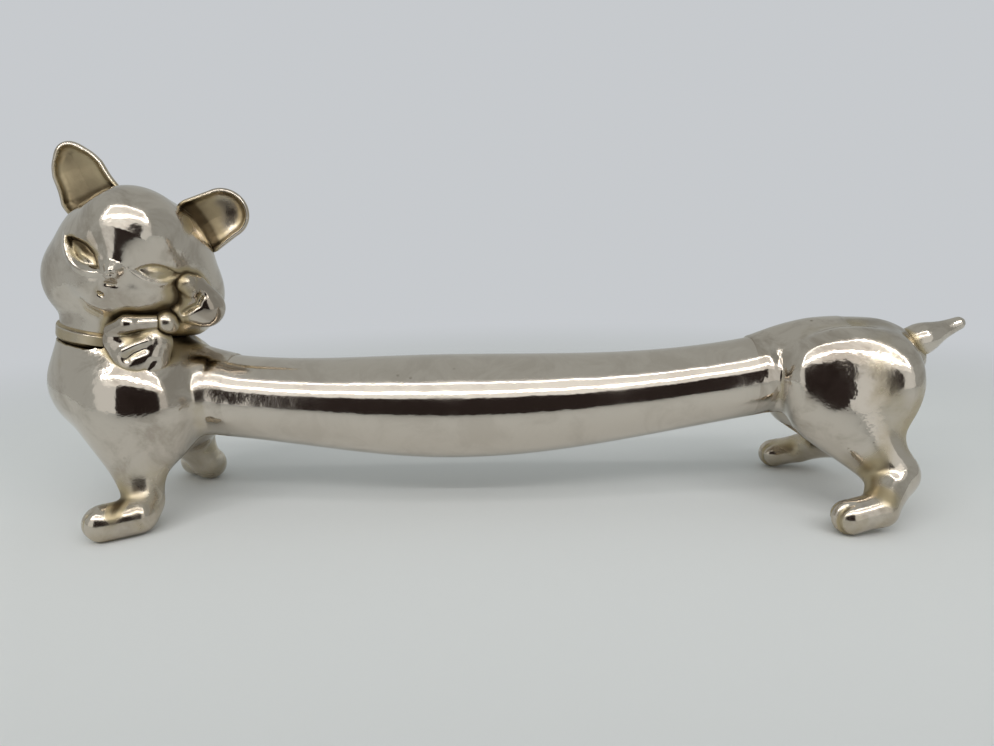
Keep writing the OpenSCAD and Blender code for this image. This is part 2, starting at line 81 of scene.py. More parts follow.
def egg(p, middle, radii):
    q, r = p - at(*middle), at(*radii)
    n = np.linalg.norm(q / r, axis=-1)
    return n * (n - 1) / np.maximum(np.linalg.norm(q / r**2, axis=-1), TINY)


def bone(p, start, end, r_start, r_end):
    a, b = at(*start), at(*end)
    t = np.clip((p - a) @ (b - a) / ((b - a) @ (b - a)), 0, 1)
    return np.linalg.norm(p - a - t[..., None] * (b - a), axis=-1) - r_start - t * (r_end - r_start)


print("an egg with radii of 2 mm is %.1f mm deep inside" % -egg(at(0.001, 0, 0), (0, 0, 0), (2, 2, 2)))


# %% How lumps melt together
def melt(a, b, softness):
    t = np.maximum(softness - np.abs(a - b), 0) / softness
    return np.minimum(a, b) - t**3 * softness / 6


def cut(a, b, softness):
    return -melt(-a, b, softness)


def limb(p, joints, softness):
    d = bone(p, joints[0][0], joints[1][0], joints[0][1], joints[1][1])
    for (a, ra), (b, rb) in zip(joints[1:], joints[2:]):
        d = melt(d, bone(p, a, b, ra, rb), softness)
    return d


print("two skins 1 mm away, melted over 2 mm, are %.2f mm away" % melt(1.0, 1.0, 2.0))


# %% Places that are mirrored or turned
def both_sides(p, axis):
    q = p.copy()
    q[..., axis] = np.abs(q[..., axis])
    return q


def turned(p, frame_at, frame_axes):
    return (p - frame_at) @ frame_axes.T


def facing(turn, tilt, nod=0.0):
    """Rows are right, up and outwards, for a face that looks towards -Y and is then turned."""
    turn, tilt, nod = np.radians([turn, tilt, nod])
    right, out = at(np.cos(turn), np.sin(turn), 0), at(np.sin(turn), -np.cos(turn), 0)
    r = np.cos(tilt) * right - np.sin(tilt) * at(0, 0, 1)
    u = np.sin(tilt) * right + np.cos(tilt) * at(0, 0, 1)
    return np.stack([r, np.cos(nod) * u + np.sin(nod) * out, np.cos(nod) * out - np.sin(nod) * u])


print("a face that is not turned looks along", facing(0, 0)[2])


# %% [markdown]
# ## The bar and the two quarters
# The bar sags a little between the shoulders and the haunches and is fattest in front of its
# middle, like a cat's belly. Its rule is two parabolas for the height and a cosine for the
# thickness. The quarters are eggs and bones that melt into that same rule, so the skin runs on
# over the soldered seams without a step.

# %% The rule of the bar
FRONT_X, REAR_X = -27.375, 25.125
BAR_L = REAR_X - FRONT_X
BAR_Z, FRONT_RISE, REAR_RISE = 10.25, 1.4, 2.55
FRONT_R, FAT_R, REAR_R = 4.3, 5.35, 4.0
LOW_SHARE, FAT_SHARE = 0.45, 0.43
LOW_X, FAT_X = FRONT_X + BAR_L * LOW_SHARE, FRONT_X + BAR_L * FAT_SHARE
# The rule runs on a little way inside both quarters, and a core of metal follows it there
RULE_FROM_X, RULE_TO_X = -34, 31
CORE_FROM_X, CORE_TO_X = -36, 33
# An ease brings a distance that its rule makes too large nearer to the true one
CORE_EASE = 0.98


def bar_height(x):
    x = np.clip(x, RULE_FROM_X, RULE_TO_X)
    front, rear = (LOW_X - x) / (LOW_X - FRONT_X), (x - LOW_X) / (REAR_X - LOW_X)
    return BAR_Z + np.where(x < LOW_X, FRONT_RISE * front**2, REAR_RISE * rear**2)


def bar_radius(x):
    slim = np.where(x < FAT_X, FRONT_R, REAR_R)
    away = np.where(x < FAT_X, (FAT_X - x) / (FAT_X - FRONT_X), (x - FAT_X) / (REAR_X - FAT_X))
    return slim + (FAT_R - slim) * np.cos(np.pi / 2 * np.clip(away, 0, 1))**2


def bar_field(p):
    x = p[..., 0]
    d = np.hypot(p[..., 1], p[..., 2] - bar_height(x)) - bar_radius(x)
    return np.maximum(CORE_EASE * d, np.maximum(CORE_FROM_X - x, x - CORE_TO_X))


TOP_OF_BAR = at(0, 0, bar_height(0) + bar_radius(0))
print("bar: %.1f mm long, %.1f mm thick at most" % (BAR_L, 2 * FAT_R))


# %% The neck and its collar
NECK_LEAN = math.radians(10)
NECK_AXIS = at(math.sin(NECK_LEAN), 0, math.cos(NECK_LEAN))
COLLAR_AT = at(-38.6, 0, 18.6)
COLLAR_R, COLLAR_H = 6.0, 1.6
HEAD_SEAT = COLLAR_AT + NECK_AXIS * COLLAR_H / 2


def along_neck(p):
    s = (p - COLLAR_AT) @ NECK_AXIS
    return s, np.linalg.norm(p - COLLAR_AT - s[..., None] * NECK_AXIS, axis=-1)


print("the head sits at", HEAD_SEAT.round(2))

# %% The chest with its forelegs
# An egg is its middle and three radii, a bone its two ends and their radii. Those of a leg, a
# shoulder or a haunch are on the far side, and mirroring gives the near one.
BREAST = ((-38.94, 0, 13.8), (6.73, 7.07, 5.75))
SHOULDER = ((-35.45, 3.29, 11.47), (5.51, 5.08, 6.29))
NECK = ((-39.4, 0, 14.1), (-38.3, 0, 20.2), 6.15, 5.7)
WITHERS = ((-33.5, 0, 15.4), (-29.7, 0, 13.2), 2.6, 3.1)
FORELEG = ((-37.0, 4.1, 9.6), (-34.85, 6.5, 2.7), 2.6, 1.75)
FOREPAW = [((-34.9, 7.9, 1.7), 1.75), ((-37.4, 9.5, 1.7), 1.78)]
BREAST_MELT, NECK_MELT, FORELEG_MELT, FOREPAW_BEND, FOREPAW_MELT = 4.4, 2, 4.2, 1.0, 1.6


def chest_field(p):
    q = both_sides(p, 1)
    d = melt(egg(p, *BREAST), egg(q, *SHOULDER), BREAST_MELT)
    d = melt(d, bone(p, *NECK), NECK_MELT)
    d = melt(d, bone(p, *WITHERS), NECK_MELT)
    d = melt(d, bone(q, *FORELEG), FORELEG_MELT)
    return melt(d, limb(q, FOREPAW, FOREPAW_BEND), FOREPAW_MELT)


print("the forepaws stand %.1f mm apart" % (2 * FOREPAW[-1][0][1]))

# %% The rump with its hind legs
RUMP_END = ((37.58, 0, 12.89), (2.51, 6.98, 4.57))
HAUNCH = ((33.02, 3.85, 12.98), (5.77, 2.58, 5.13))
LOIN = ((33.43, 0, 14.34), (9.22, 3.03, 4.34))
HOCK, HOCK_R = (37.05, 6.19, 4.44), 2.12
THIGH = ((32.66, 3.1, 9.74), HOCK, 3.31, HOCK_R)
HIND_PAW = [(HOCK, HOCK_R), ((34.5, 9.2, 2.2), 1.5), ((31.7, 9.5, 1.6), 1.6)]
HAUNCH_MELT, LOIN_MELT, THIGH_MELT, HIND_PAW_BEND, HIND_PAW_MELT = 5.36, 2.83, 5.5, 0.8, 1.1


def rump_field(p):
    q = both_sides(p, 1)
    d = melt(egg(p, *RUMP_END), egg(q, *HAUNCH), HAUNCH_MELT)
    d = melt(d, egg(p, *LOIN), LOIN_MELT)
    d = melt(d, bone(q, *THIGH), THIGH_MELT)
    return melt(d, limb(q, HIND_PAW, HIND_PAW_BEND), HIND_PAW_MELT)


print("the hind paws stand %.1f mm apart" % (2 * HIND_PAW[-1][0][1]))

# %% The folds beside the seams
# Each fold has its seam, the way that it lies from there, its middle, its width and its depth.
FRONT_FOLD, REAR_FOLD = (FRONT_X, -1, 1.6, 1.3, 0.12), (REAR_X, 1, 1.8, 1.1, 0.4)
FOLD_FROM_Y, FOLD_FADE = 1.0, 2.0


def bump_line(value, middle, width):
    return np.exp(-((value - middle) / width)**2)


def fold(p, seam, way, middle, width, depth):
    """A soft upright hollow on both flanks, where a quarter swells out from its seam with the bar."""
    x = way * (p[..., 0] - seam)
    side = np.clip((np.abs(p[..., 1]) - FOLD_FROM_Y) / FOLD_FADE, 0, 1) * np.clip(x / FOLD_FADE, 0, 1)**2
    return depth * side * bump_line(x, middle, width)


print("the folds are %.2f and %.2f mm deep" % (FRONT_FOLD[-1], REAR_FOLD[-1]))

# %% The toes, and the body as a whole
FORE_TOES, HIND_TOES = ((-38.0, 9.7), 30), ((31.5, 9.5), 6)
TOE_PITCH, CLEFT_WIDTH, CLEFT_DEPTH = 0.62, 0.24, 0.24
CLEFT_FOOT, CLEFT_TOP, CLEFT_REACH = 0.8, 4.2, 4
BODY_MELT = 2


def toes(p, tip, turn):
    """Two shallow clefts over the front of each paw, which part its toes."""
    a = math.radians(turn)
    q = both_sides(p, 1)[..., :2] - at(*tip)
    ahead = -q[..., 0] * math.cos(a) + q[..., 1] * math.sin(a)
    across = q[..., 0] * math.sin(a) + q[..., 1] * math.cos(a)
    tall = np.clip(p[..., 2] / CLEFT_FOOT, 0, 1)
    reach = np.clip(0.5 + ahead, 0, 1) * tall * np.clip(CLEFT_TOP - p[..., 2], 0, 1)
    clefts = bump_line(across, TOE_PITCH, CLEFT_WIDTH) + bump_line(across, -TOE_PITCH, CLEFT_WIDTH)
    return CLEFT_DEPTH * reach * clefts * np.clip(CLEFT_REACH - np.abs(ahead), 0, 1)


def body_field(p):
    d = melt(melt(bar_field(p), chest_field(p), BODY_MELT), rump_field(p), BODY_MELT)
    d = d + fold(p, *FRONT_FOLD) + fold(p, *REAR_FOLD)
    return d + toes(p, *FORE_TOES) + toes(p, *HIND_TOES)


print("each paw has clefts %.2f mm from its middle" % TOE_PITCH)

# %% The seat of the collar
# The seat is a hair taller and wider than the collar, so the collar's edges read as grooves.
SEAT_R, SEAT_OVER, SEAT_OUT, SEAT_MELT = 4.85, 0.1, 0.05, 0.15


def collar_seat(p):
    s, r = along_neck(p)
    return np.maximum(np.maximum(np.abs(s) - COLLAR_H / 2 - SEAT_OVER, SEAT_R - r), r - COLLAR_R - SEAT_OUT)


def forequarters_field(p):
    return cut(body_field(p), collar_seat(p), SEAT_MELT)


print("the collar's seat is turned down by %.2f mm" % (COLLAR_R - SEAT_R))


# %% [markdown]
# ## The head, the ears and the tail
# The head is turned towards the viewer and tilted, so it gets a frame of its own in which left and
# right match. Skull, cheeks and muzzle are eggs. The eyes, the nose and the mouth are chased: strokes
# over the face say how far the skin stands out or is sunk there, as a chaser's punches leave it. A
# displacement texture would need a far finer mesh for the same crisp lines.

# %% The head
HEAD_AT, HEAD_AXES = at(-35.7, -0.84, 25.9), facing(17, 15, 2)
SKULL = ((0, 0.1, 0.55), (7.0, 6.6, 6.5))
CHEEK = ((3.55, -2.6, -0.8), (4.8, 4.9, 4.9))
MUZZLE = ((-0.3, -1.6, 3.9), (4.0, 3.7, 3.2))
FOREHEAD = ((0, 3.1, 3.7), (4.3, 4.0, 4.1))
NOSE_BRIDGE = ((0, 1.6, 5.8), (-0.3, -0.2, 7.1), 2.25, 0.7)
THROAT_R = 5.7
CHEEK_MELT, MUZZLE_MELT, FOREHEAD_MELT, BRIDGE_MELT, THROAT_MELT = 2, 1.5, 2, 1.2, 1


def head_form(u):
    """The head without its chasing, in its own frame, from points in that frame."""
    q = both_sides(u, 0)
    throat = bone(u, turned(HEAD_SEAT, HEAD_AT, HEAD_AXES), (0, 0, 0), THROAT_R, THROAT_R)
    d = melt(egg(u, *SKULL), egg(q, *CHEEK), CHEEK_MELT)
    d = melt(d, egg(u, *MUZZLE), MUZZLE_MELT)
    d = melt(d, egg(u, *FOREHEAD), FOREHEAD_MELT)
    d = melt(d, bone(u, *NOSE_BRIDGE), BRIDGE_MELT)
    return melt(d, throat, THROAT_MELT)


print("the skull is %.1f mm wide" % (2 * SKULL[1][0]))


# %% Chased strokes, and the eyes
def stroke(f, points, width):
    """One at the middle of a chased line through flat points, fading to nought beside it."""
    near = None
    for a, b in zip(points, points[1:]):
        a, b = at(*a), at(*b)
        t = np.clip((f - a) @ (b - a) / ((b - a) @ (b - a)), 0, 1)
        far = np.linalg.norm(f - a - t[..., None] * (b - a), axis=-1)
        near = far if near is None else np.minimum(near, far)
    return np.exp(-(near / width)**2)


def chased(f, lines, start):
    """The start and every line on top of it, each with its height, its points and its width."""
    return sum((height * stroke(f, points, width) for height, points, width in lines), start)


# Places and widths in an eye's almond, where 0 is its middle and 1 its outline
LID_AT, LID_WIDTH = 1.45, 0.35
SOCKET_FROM, SOCKET_WIDTH = 0.6, 0.32
EYEBALL_WIDE, EYEBALL_TALL, EYEBALL_DROP, EYEBALL_FADE = 0.95, 0.55, 0.1, 0.8
# Shares of an eye's depth for its lid, its socket and its ball, and how the upper half differs
LID_RISE, UPPER_LID_LESS = 0.42, 0.34
SOCKET_SINK, UPPER_SOCKET_MORE = 0.55, 0.6
EYEBALL_RISE = 0.5


def eye(f, middle, slant, length, height, depth):
    """A sunk almond with a ball in it: deepest under the upper lid, with a rolled lower lid."""
    a = math.radians(slant)
    q = (f - at(*middle)) @ np.array([[math.cos(a), -math.sin(a)], [math.sin(a), math.cos(a)]])
    almond = np.abs(q[..., 1]) / height + (q[..., 0] / length)**2
    upper = np.clip(0.5 + q[..., 1] / height, 0, 1)
    lid = (LID_RISE - UPPER_LID_LESS * upper) * bump_line(almond, LID_AT, LID_WIDTH)
    sunk = SOCKET_SINK + UPPER_SOCKET_MORE * upper
    sunk = sunk * bump_line(np.maximum(almond - SOCKET_FROM, 0), 0.0, SOCKET_WIDTH)
    ball = np.hypot(q[..., 0] / EYEBALL_WIDE, (q[..., 1] + EYEBALL_DROP * height) / (EYEBALL_TALL * height))
    return depth * (lid - sunk + EYEBALL_RISE * bump_line(ball, 0.0, EYEBALL_FADE))


print("a stroke's height on its line is", stroke(at(0, 0), [(-1, 0), (1, 0)], 0.5))

# %% The chasing of the face
# An eye has its middle, slant, length, height and depth. A line with a negative height is sunk.
NEAR_EYE = ((-3.3, 0.2), -31, 1.95, 0.95, 0.6)
FAR_EYE = ((2.9, -0.1), 4, 1.75, 0.8, 0.25)
NOSE = [(0.62, [(-0.45, -0.7), (-0.5, -1.1)], 0.68), (-0.16, [(-0.7, -1.0), (-0.25, -0.9)], 0.14)]
MOUTH = [(-0.2, [(-0.9, -1.95), (-0.1, -1.9)], 0.2), (-0.24, [(-1.4, -3.0), (-1.2, -3.1)], 0.2)]
JAW = [(-0.13, [(-3.2, -4.3), (-2.7, -4.9), (-1.7, -5.2)], 0.35)]
LIP = [(-0.08, [(-0.7, -2.1), (-1.2, -3.0)], 0.5)]
CHEEK_HOLLOWS = [(-0.1, [(1.3, -1.5), (2.4, -1.75), (3.6, -1.6)], 0.55),
                 (-0.08, [(0.3, -3.4), (2.4, -3.6)], 0.8)]
BROWS = [(-0.14, [(-2.0, 0.9), (-2.5, 2.3)], 0.55), (0.05, [(2.4, 1.5), (4.5, 2.4)], 0.7)]
FACE_FROM, FACE_FADE = 2, 2


def chasing(u):
    """How far the eyes, the nose and the mouth stand out of the head, or are cut into it."""
    f = u[..., :2]
    lines = NOSE + MOUTH + JAW + LIP + CHEEK_HOLLOWS + BROWS
    h = chased(f, lines, eye(f, *NEAR_EYE) + eye(f, *FAR_EYE))
    return h * np.clip((u[..., 2] - FACE_FROM) / FACE_FADE, 0, 1)


def head_field(p):
    u = turned(p, HEAD_AT, HEAD_AXES)
    return head_form(u) - chasing(u)


print("the nose stands out by %.2f mm" % chasing(at(-0.475, -0.9, 7.0)))

# %% The ears, each a cupped shell with a rolled rim
# The right ear is -1 and the left one is 1. A form is a row of middles with their radii.
EAR_SPLAY = {-1: 32, 1: 43.5}
EAR_ROOT = {-1: at(-5.2, 5.1, -0.75), 1: at(4.85, 4.55, -0.75)}
EAR_FORM = {-1: [((0, 0, 0), 2.8), ((0.05, 2.6, 0), 2.1), ((0.1, 4.1, 0), 1.05)],
            1: [((0, 0.2, 0), 2.9), ((0.15, 2.65, 0), 2.55)]}
EAR_SOFT, EAR_FLATTEN, EAR_EASE = 1.6, 1.9, 0.7
EAR_RIM, EAR_FACE = 0.42, 0.4
EAR_FACE_MELT, CUP_MELT, EAR_ROOT_MELT = 0.4, 0.25, 0.1
CUP_TOP, CUP_WALL, CUP_WALL_FADE, CUP_BOWL, CUP_BOWL_FADE, CUP_EASE = 0.3, 0.45, 0.2, 0.4, 1.2, 0.9


def ear_axes(side):
    a = math.radians(EAR_SPLAY[side])
    return np.array([[math.cos(a), -side * math.sin(a), 0], [side * math.sin(a), math.cos(a), 0], [0, 0, 1]])


def ear_frame(u, side):
    return turned(u, EAR_ROOT[side], ear_axes(side)) * at(side, 1, 1)


def ear_bowl(e, side):
    """How far a point is outside the ear's cup: the outline shrunk by the rim, over a hollow floor."""
    inside = -limb(e * at(1, 1, 0), EAR_FORM[side], EAR_SOFT) - EAR_RIM
    wall = CUP_WALL * (1 - np.exp(-np.clip(inside, 0, 9) / CUP_WALL_FADE))
    bowl = CUP_BOWL * (1 - np.exp(-np.clip(inside, 0, 9) / CUP_BOWL_FADE))
    return np.maximum(-inside, CUP_EASE * (CUP_TOP - wall - bowl - e[..., 2]))


def ear_field(p, side):
    u = turned(p, HEAD_AT, HEAD_AXES)
    e = ear_frame(u, side)
    d = EAR_EASE * limb(e * at(1, 1, EAR_FLATTEN), EAR_FORM[side], EAR_SOFT)
    d = cut(d, EAR_FACE - e[..., 2], EAR_FACE_MELT)
    d = cut(d, ear_bowl(e, side), CUP_MELT)
    return cut(d, head_form(u), EAR_ROOT_MELT)


print("the ears' cups are %.2f mm deep" % (EAR_FACE - CUP_TOP + CUP_WALL + CUP_BOWL))

# %% The tail
TAIL = [((38.6, 0, 14.9), 1.5), ((42.0, 0, 16.3), 1.2), ((45.5, 0, 17.8), 0.66)]
TAIL_BEND = 2.5


def tail_field(p):
    return limb(p, TAIL, TAIL_BEND)


print("the tail ends %.2f mm thick" % (2 * TAIL[-1][1]))


# %% [markdown]
# ## The collar and the bow
# A ribbon collar goes round the neck, and its bow sits under one cheek: a round knot, a broad loop
# that hangs over the chest and a shorter one that stands up against the cheek. Each loop is a chain
# of lumps, flattened, with a rolled edge and with folds that run towards the knot.

# %% The collar
# The band's section is a box of two half sizes, grown by a round edge. Its fine ridges run along it.
BAND_HALF_WALL, BAND_EDGE, BAND_IN, BAND_EASE = 0.27, 0.4, 0.67, 0.9
RIDGE, RIDGE_COUNT = 0.22, 2


def collar_field(p):
    s, r = along_neck(p)
    ridge = RIDGE * np.cos(np.clip(s / COLLAR_H * RIDGE_COUNT * math.tau, -math.tau, math.tau))
    band = np.stack([r + ridge * np.clip((r - COLLAR_R + 1) * 2, 0, 1), s], -1) - at(COLLAR_R - BAND_IN, 0)
    over = np.maximum(np.abs(band) - at(BAND_HALF_WALL, COLLAR_H / 2 - BAND_EDGE), 0)
    return BAND_EASE * (np.linalg.norm(over, axis=-1) - BAND_EDGE)


print("the collar is %.1f mm tall" % COLLAR_H)

# %% The knot of the bow
BOW_AT, BOW_AXES = at(-31.7, -4.35, 20.0), facing(20, 0)
KNOT = ((0, 0, 0), (1.12, 1.2, 1.25))


def on_bow(p):
    return turned(p, BOW_AT, BOW_AXES)


def knot_field(p):
    return egg(on_bow(p), *KNOT)


print("the knot is %.1f mm wide" % (2 * KNOT[1][0]))

# %% The loops of the bow
# A fold is a line with its height, its points and its width. A negative height is sunk.
LOWER_FORM = [((-4.0, -1.5, -0.2), 1.8), ((-2.65, -3.6, 0.3), 2.15), ((-1.6, -1.9, 0), 1.9)]
LOWER_ROLL = [((-4.7, -0.5, 0.2), 0.75), ((-3.2, 0.15, 1.1), 0.85), ((-0.8, 0.1, 0.4), 0.7)]
LOWER_FOLDS = [(0.24, [(-3.9, -2.3), (-2.6, -1.75), (-1.7, -1.5)], 0.35),
               (-0.22, [(-3.6, -3.1), (-2.9, -2.6), (-2.1, -2.3)], 0.35),
               (-0.15, [(-2.4, -4.6), (-1.5, -3.5)], 0.3)]
UPPER_FORM = [((1.2, 0.8, -0.4), 1.0), ((3.3, 1.2, -0.9), 1.8), ((2.5, 3.0, -0.2), 1.5)]
UPPER_ROLL = [((2.1, 3.6, 0.5), 1.05), ((2.5, 2.9, 0.5), 0.8)]
UPPER_FOLDS = [(-0.35, [(3.3, 2.4), (2.9, 1.6), (1.6, 0.9)], 0.3)]
LOWER_EASE, LOWER_FLATTEN, LOWER_BEND, LOWER_ROLL_BEND, LOWER_ROLL_MELT = 0.8, 1.5, 1.5, 0.5, 0.4
UPPER_EASE, UPPER_FLATTEN, UPPER_BEND, UPPER_ROLL_BEND, UPPER_ROLL_MELT = 0.85, 1.3, 1.2, 0.4, 0.3
KNOT_GAP, KNOT_MELT = 0.02, 0.1


def lower_loop_field(p):
    e = on_bow(p)
    d = LOWER_EASE * limb(e * at(1, 1, LOWER_FLATTEN), LOWER_FORM, LOWER_BEND)
    d = melt(d, limb(e, LOWER_ROLL, LOWER_ROLL_BEND), LOWER_ROLL_MELT)
    folds = chased(e[..., :2], LOWER_FOLDS, 0)
    return cut(d - folds * np.clip(2 * e[..., 2], 0, 1), knot_field(p) - KNOT_GAP, KNOT_MELT)


def upper_loop_field(p):
    e = on_bow(p)
    d = UPPER_EASE * limb(e * at(1, 1, UPPER_FLATTEN), UPPER_FORM, UPPER_BEND)
    d = melt(d, limb(e, UPPER_ROLL, UPPER_ROLL_BEND), UPPER_ROLL_MELT)
    folds = chased(e[..., :2], UPPER_FOLDS, 0)
    return cut(d - folds * np.clip(1 + 2 * e[..., 2], 0, 1), knot_field(p) - KNOT_GAP, KNOT_MELT)


print("folds on the bow:", len(LOWER_FOLDS) + len(UPPER_FOLDS))


# %% The whole cat
def whole_field(p):
    d = np.minimum(body_field(p), head_field(p))
    for other in (tail_field, collar_field, knot_field, lower_loop_field, upper_loop_field):
        d = np.minimum(d, other(p))
    return np.minimum(d, np.minimum(ear_field(p, -1), ear_field(p, 1)))


print("a point 10 mm over the bar lies %.1f mm from the metal" % whole_field(TOP_OF_BAR + at(0, 0, 10)))


# %% [markdown]
# ## From a field to a mesh
# The field is read on a lattice of small cells. Every cell that the skin crosses gets one point, and
# the points of neighbouring cells are joined by quads, which is known as surface nets. The points
# are then slid along the slope until they lie on the skin. Marching cubes would work as well, but
# it leaves slivers that show as scratches in a mirror finish. Only cells near the skin are read.

# %% The lattice and the slope
CORNERS = np.array([[i & 1, i >> 1 & 1, i >> 2] for i in range(8)])
EDGES = np.array([[a, b] for a in range(8) for b in range(a + 1, 8) if bin(a ^ b).count("1") == 1])
COARSE, NEAR_CELLS = 4, 6.5


def slope(field, p, step=0.01):
    return np.stack([field(p + e) - field(p - e) for e in np.eye(3) * step], -1) / (2 * step)


def lattice(field, low, high, cell):
    """The grid's places and the field there, read finely only where the skin may be."""
    n = np.ceil((at(*high) - at(*low)) / (COARSE * cell)).astype(int) * COARSE + 1
    grid = np.stack(np.meshgrid(*[low[a] + cell * np.arange(n[a]) for a in range(3)], indexing="ij"), -1)
    depth = field(grid[::COARSE, ::COARSE, ::COARSE])
    depth = depth[np.ix_(*[(np.arange(m) + COARSE // 2) // COARSE for m in n])]
    close = np.abs(depth) < NEAR_CELLS * cell
    depth[close] = field(grid[close])
    return n, depth


print("a cell has %d corners and %d edges" % (len(CORNERS), len(EDGES)))


# %% Points in the cells, and quads between them
SLIDES, LEAST_SLOPE = 3, 0.5


def cell_points(cells, depth, low, cell):
    """One point in each crossed cell: the middle of the places where the skin cuts its edges."""
    values = np.stack([depth[tuple((cells + c).T)] for c in CORNERS], -1)
    a, b = values[:, EDGES[:, 0]], values[:, EDGES[:, 1]]
    crossed = (a < 0) != (b < 0)
    share = np.where(crossed, a / np.where(crossed, a - b, 1), 0)[..., None]
    hits = CORNERS[EDGES[:, 0]] + share * (CORNERS[EDGES[:, 1]] - CORNERS[EDGES[:, 0]])
    return at(*low) + cell * (cells + (hits * crossed[..., None]).sum(1) / crossed.sum(1)[:, None])


def slide_on(field, points, cell):
    """A few steps along the slope, one cell at most in all, bring the points onto the skin."""
    for _ in range(SLIDES):
        g = slope(field, points)
        move = g * (field(points) / np.maximum((g * g).sum(-1), LEAST_SLOPE**2))[:, None]
        far = np.linalg.norm(move, axis=-1)
        points = points - move * np.minimum(1, cell / SLIDES / np.maximum(far, TINY))[:, None]
    return points


def quads_along(axis, inside, number):
    """A quad round every lattice edge of one direction that runs from metal to air."""
    u, v = (axis + 1) % 3, (axis + 2) % 3
    first, second = [slice(1, -1)] * 3, [slice(1, -1)] * 3
    first[axis], second[axis] = slice(0, -1), slice(1, None)
    edge = np.argwhere(inside[tuple(first)] != inside[tuple(second)])
    edge[:, [u, v]] += 1
    around = [edge.copy() for _ in range(4)]
    around[0][:, [u, v]] -= 1
    around[1][:, v] -= 1
    around[3][:, u] -= 1
    ring = np.stack([number[tuple(e.T)] for e in around], -1)
    inwards = ~inside[tuple(edge.T)]
    ring[inwards] = ring[inwards][:, ::-1]
    return ring


print("a point on a 2 mm egg, from 0.1 mm outside it:",
      slide_on(lambda p: egg(p, (0, 0, 0), (2, 2, 2)), at([2.1, 0, 0]), 1.0).round(3))


# %% The skin of a field
def skin(field, low, high, cell):
    n, depth = lattice(field, low, high, cell)
    inside = depth < 0
    count = sum(inside[tuple(slice(o, m - 1 + o) for o, m in zip(c, n))].astype(int) for c in CORNERS)
    cells = np.argwhere((count > 0) & (count < 8))
    number = np.full(n - 1, -1)
    number[tuple(cells.T)] = np.arange(len(cells))
    points = slide_on(field, cell_points(cells, depth, low, cell), cell)
    return points, np.concatenate([quads_along(axis, inside, number) for axis in range(3)])


print("points on the tail with coarse cells:", len(skin(tail_field, (36, -3, 11), (47, 3, 19), 0.5)[0]))


# %% [markdown]
# ## From a mesh to a piece
# A casting is sawn flat where it meets its neighbour, and the sole of each paw is ground flat. The
# mesh is cut by the same planes and the openings are closed. Then every corner gets the exact slope
# of the field as its normal, so a reflection runs over the seams without a break. Last, each point
# stores how hollow its surroundings are, because tarnish stays where the polishing cloth can't go.

# %% Sawing a piece and closing it
def close_cut(bm, point, normal):
    geom = bm.verts[:] + bm.edges[:] + bm.faces[:]
    cut_geom = bmesh.ops.bisect_plane(bm, geom=geom, plane_co=Vector(point), plane_no=Vector(normal),
                                      clear_outer=True, dist=1e-6)["geom_cut"]
    rim = [e for e in cut_geom if isinstance(e, bmesh.types.BMEdge)]
    bmesh.ops.triangle_fill(bm, use_beauty=True, use_dissolve=False, edges=rim, normal=Vector(normal))


GROUND = ((0, 0, 0), (0, 0, -1))
FRONT_CUT = ((FRONT_X, 0, 0), (1, 0, 0))
REAR_CUT = ((REAR_X, 0, 0), (-1, 0, 0))
NECK_CUT = (tuple(HEAD_SEAT), tuple(NECK_AXIS))
HEAD_CUT = (tuple(HEAD_SEAT), tuple(-NECK_AXIS))
BAR_CUTS = [((FRONT_X, 0, 0), (-1, 0, 0)), ((REAR_X, 0, 0), (1, 0, 0))]
print("the bar's seams are at x %.2f and %.2f mm" % (FRONT_X, REAR_X))

# %% Where the cloth doesn't reach
# A spot has its strength, its middle and its reach. A negative one is rubbed brighter.
HEAD_SPOTS = [
    (0.7, (-3.4, 0.4, 6.4), (2.1, 1.5, 3)), (0.45, (3.0, -0.1, 6.3), (2.7, 1.5, 3)),
    (0.65, (5.2, -1.4, 5.0), (3, 3.6, 4)), (0.6, (4.3, 4.4, 3.2), (1.3, 2.6, 3)),
    (0.3, (-1.5, -2.7, 6.8), (0.9, 0.9, 2)), (-0.5, (-4.2, -1.1, 6), (2, 0.9, 3))]
BODY_SPOTS = [
    (0.4, (38.3, -5.0, 11.5), (3, 4, 3.5)), (0.6, (35.0, -6.5, 6.3), (1.8, 3, 3)),
    (0.7, (34.6, -8.8, 3.4), (1.8, 3, 1.5)), (0.8, (-35.9, -9.6, 3.3), (1, 2, 2.2)),
    (0.5, (-41.3, -4.6, 16.3), (2.2, 3, 1.6)), (0.4, (-34.2, -7, 17.4), (3, 4, 3.5)),
    (0.35, (-31.0, -4.0, 19.6), (5, 5, 5))]
UPPER_LID = [(1.1, [(-4.6, 1.2), (-3.0, 1.05), (-2.0, 0.3), (-1.9, -0.3)], 0.34)]


def soft_spot(p, middle, reach):
    """One at a spot that the cloth misses, fading to nought at its reach."""
    t = np.clip(1 - np.linalg.norm((p - at(*middle)) / at(*reach), axis=-1), 0, 1)
    return t * t * (3 - 2 * t)


def spotted(p, spots, start):
    return sum((strength * soft_spot(p, middle, reach) for strength, middle, reach in spots), start)


print("spots on the head and the body:", len(HEAD_SPOTS), len(BODY_SPOTS))

# %% How hollow a place is
# A look-out is a distance over the skin and its weight: in a hollow, less air is found there.
LOOK_OUTS = [(0.35, 0.5), (1.1, 0.7), (3.0, 0.25)]
# The second and third numbers make the metal darker towards the floor: more of the tarnish colours low down,
# fading out this many millimetres up
IN_CUP, LOW_DARKENING, DARKENING_TOP = 0.48, 0.36, 8
# How near a point has to be to a cup and to its ear to be stained by it, and how softly that fades
CUP_NEAR, EAR_NEAR, NEAR_FADE = 0.25, 0.5, 0.2
OUT_OF_REACH = 50
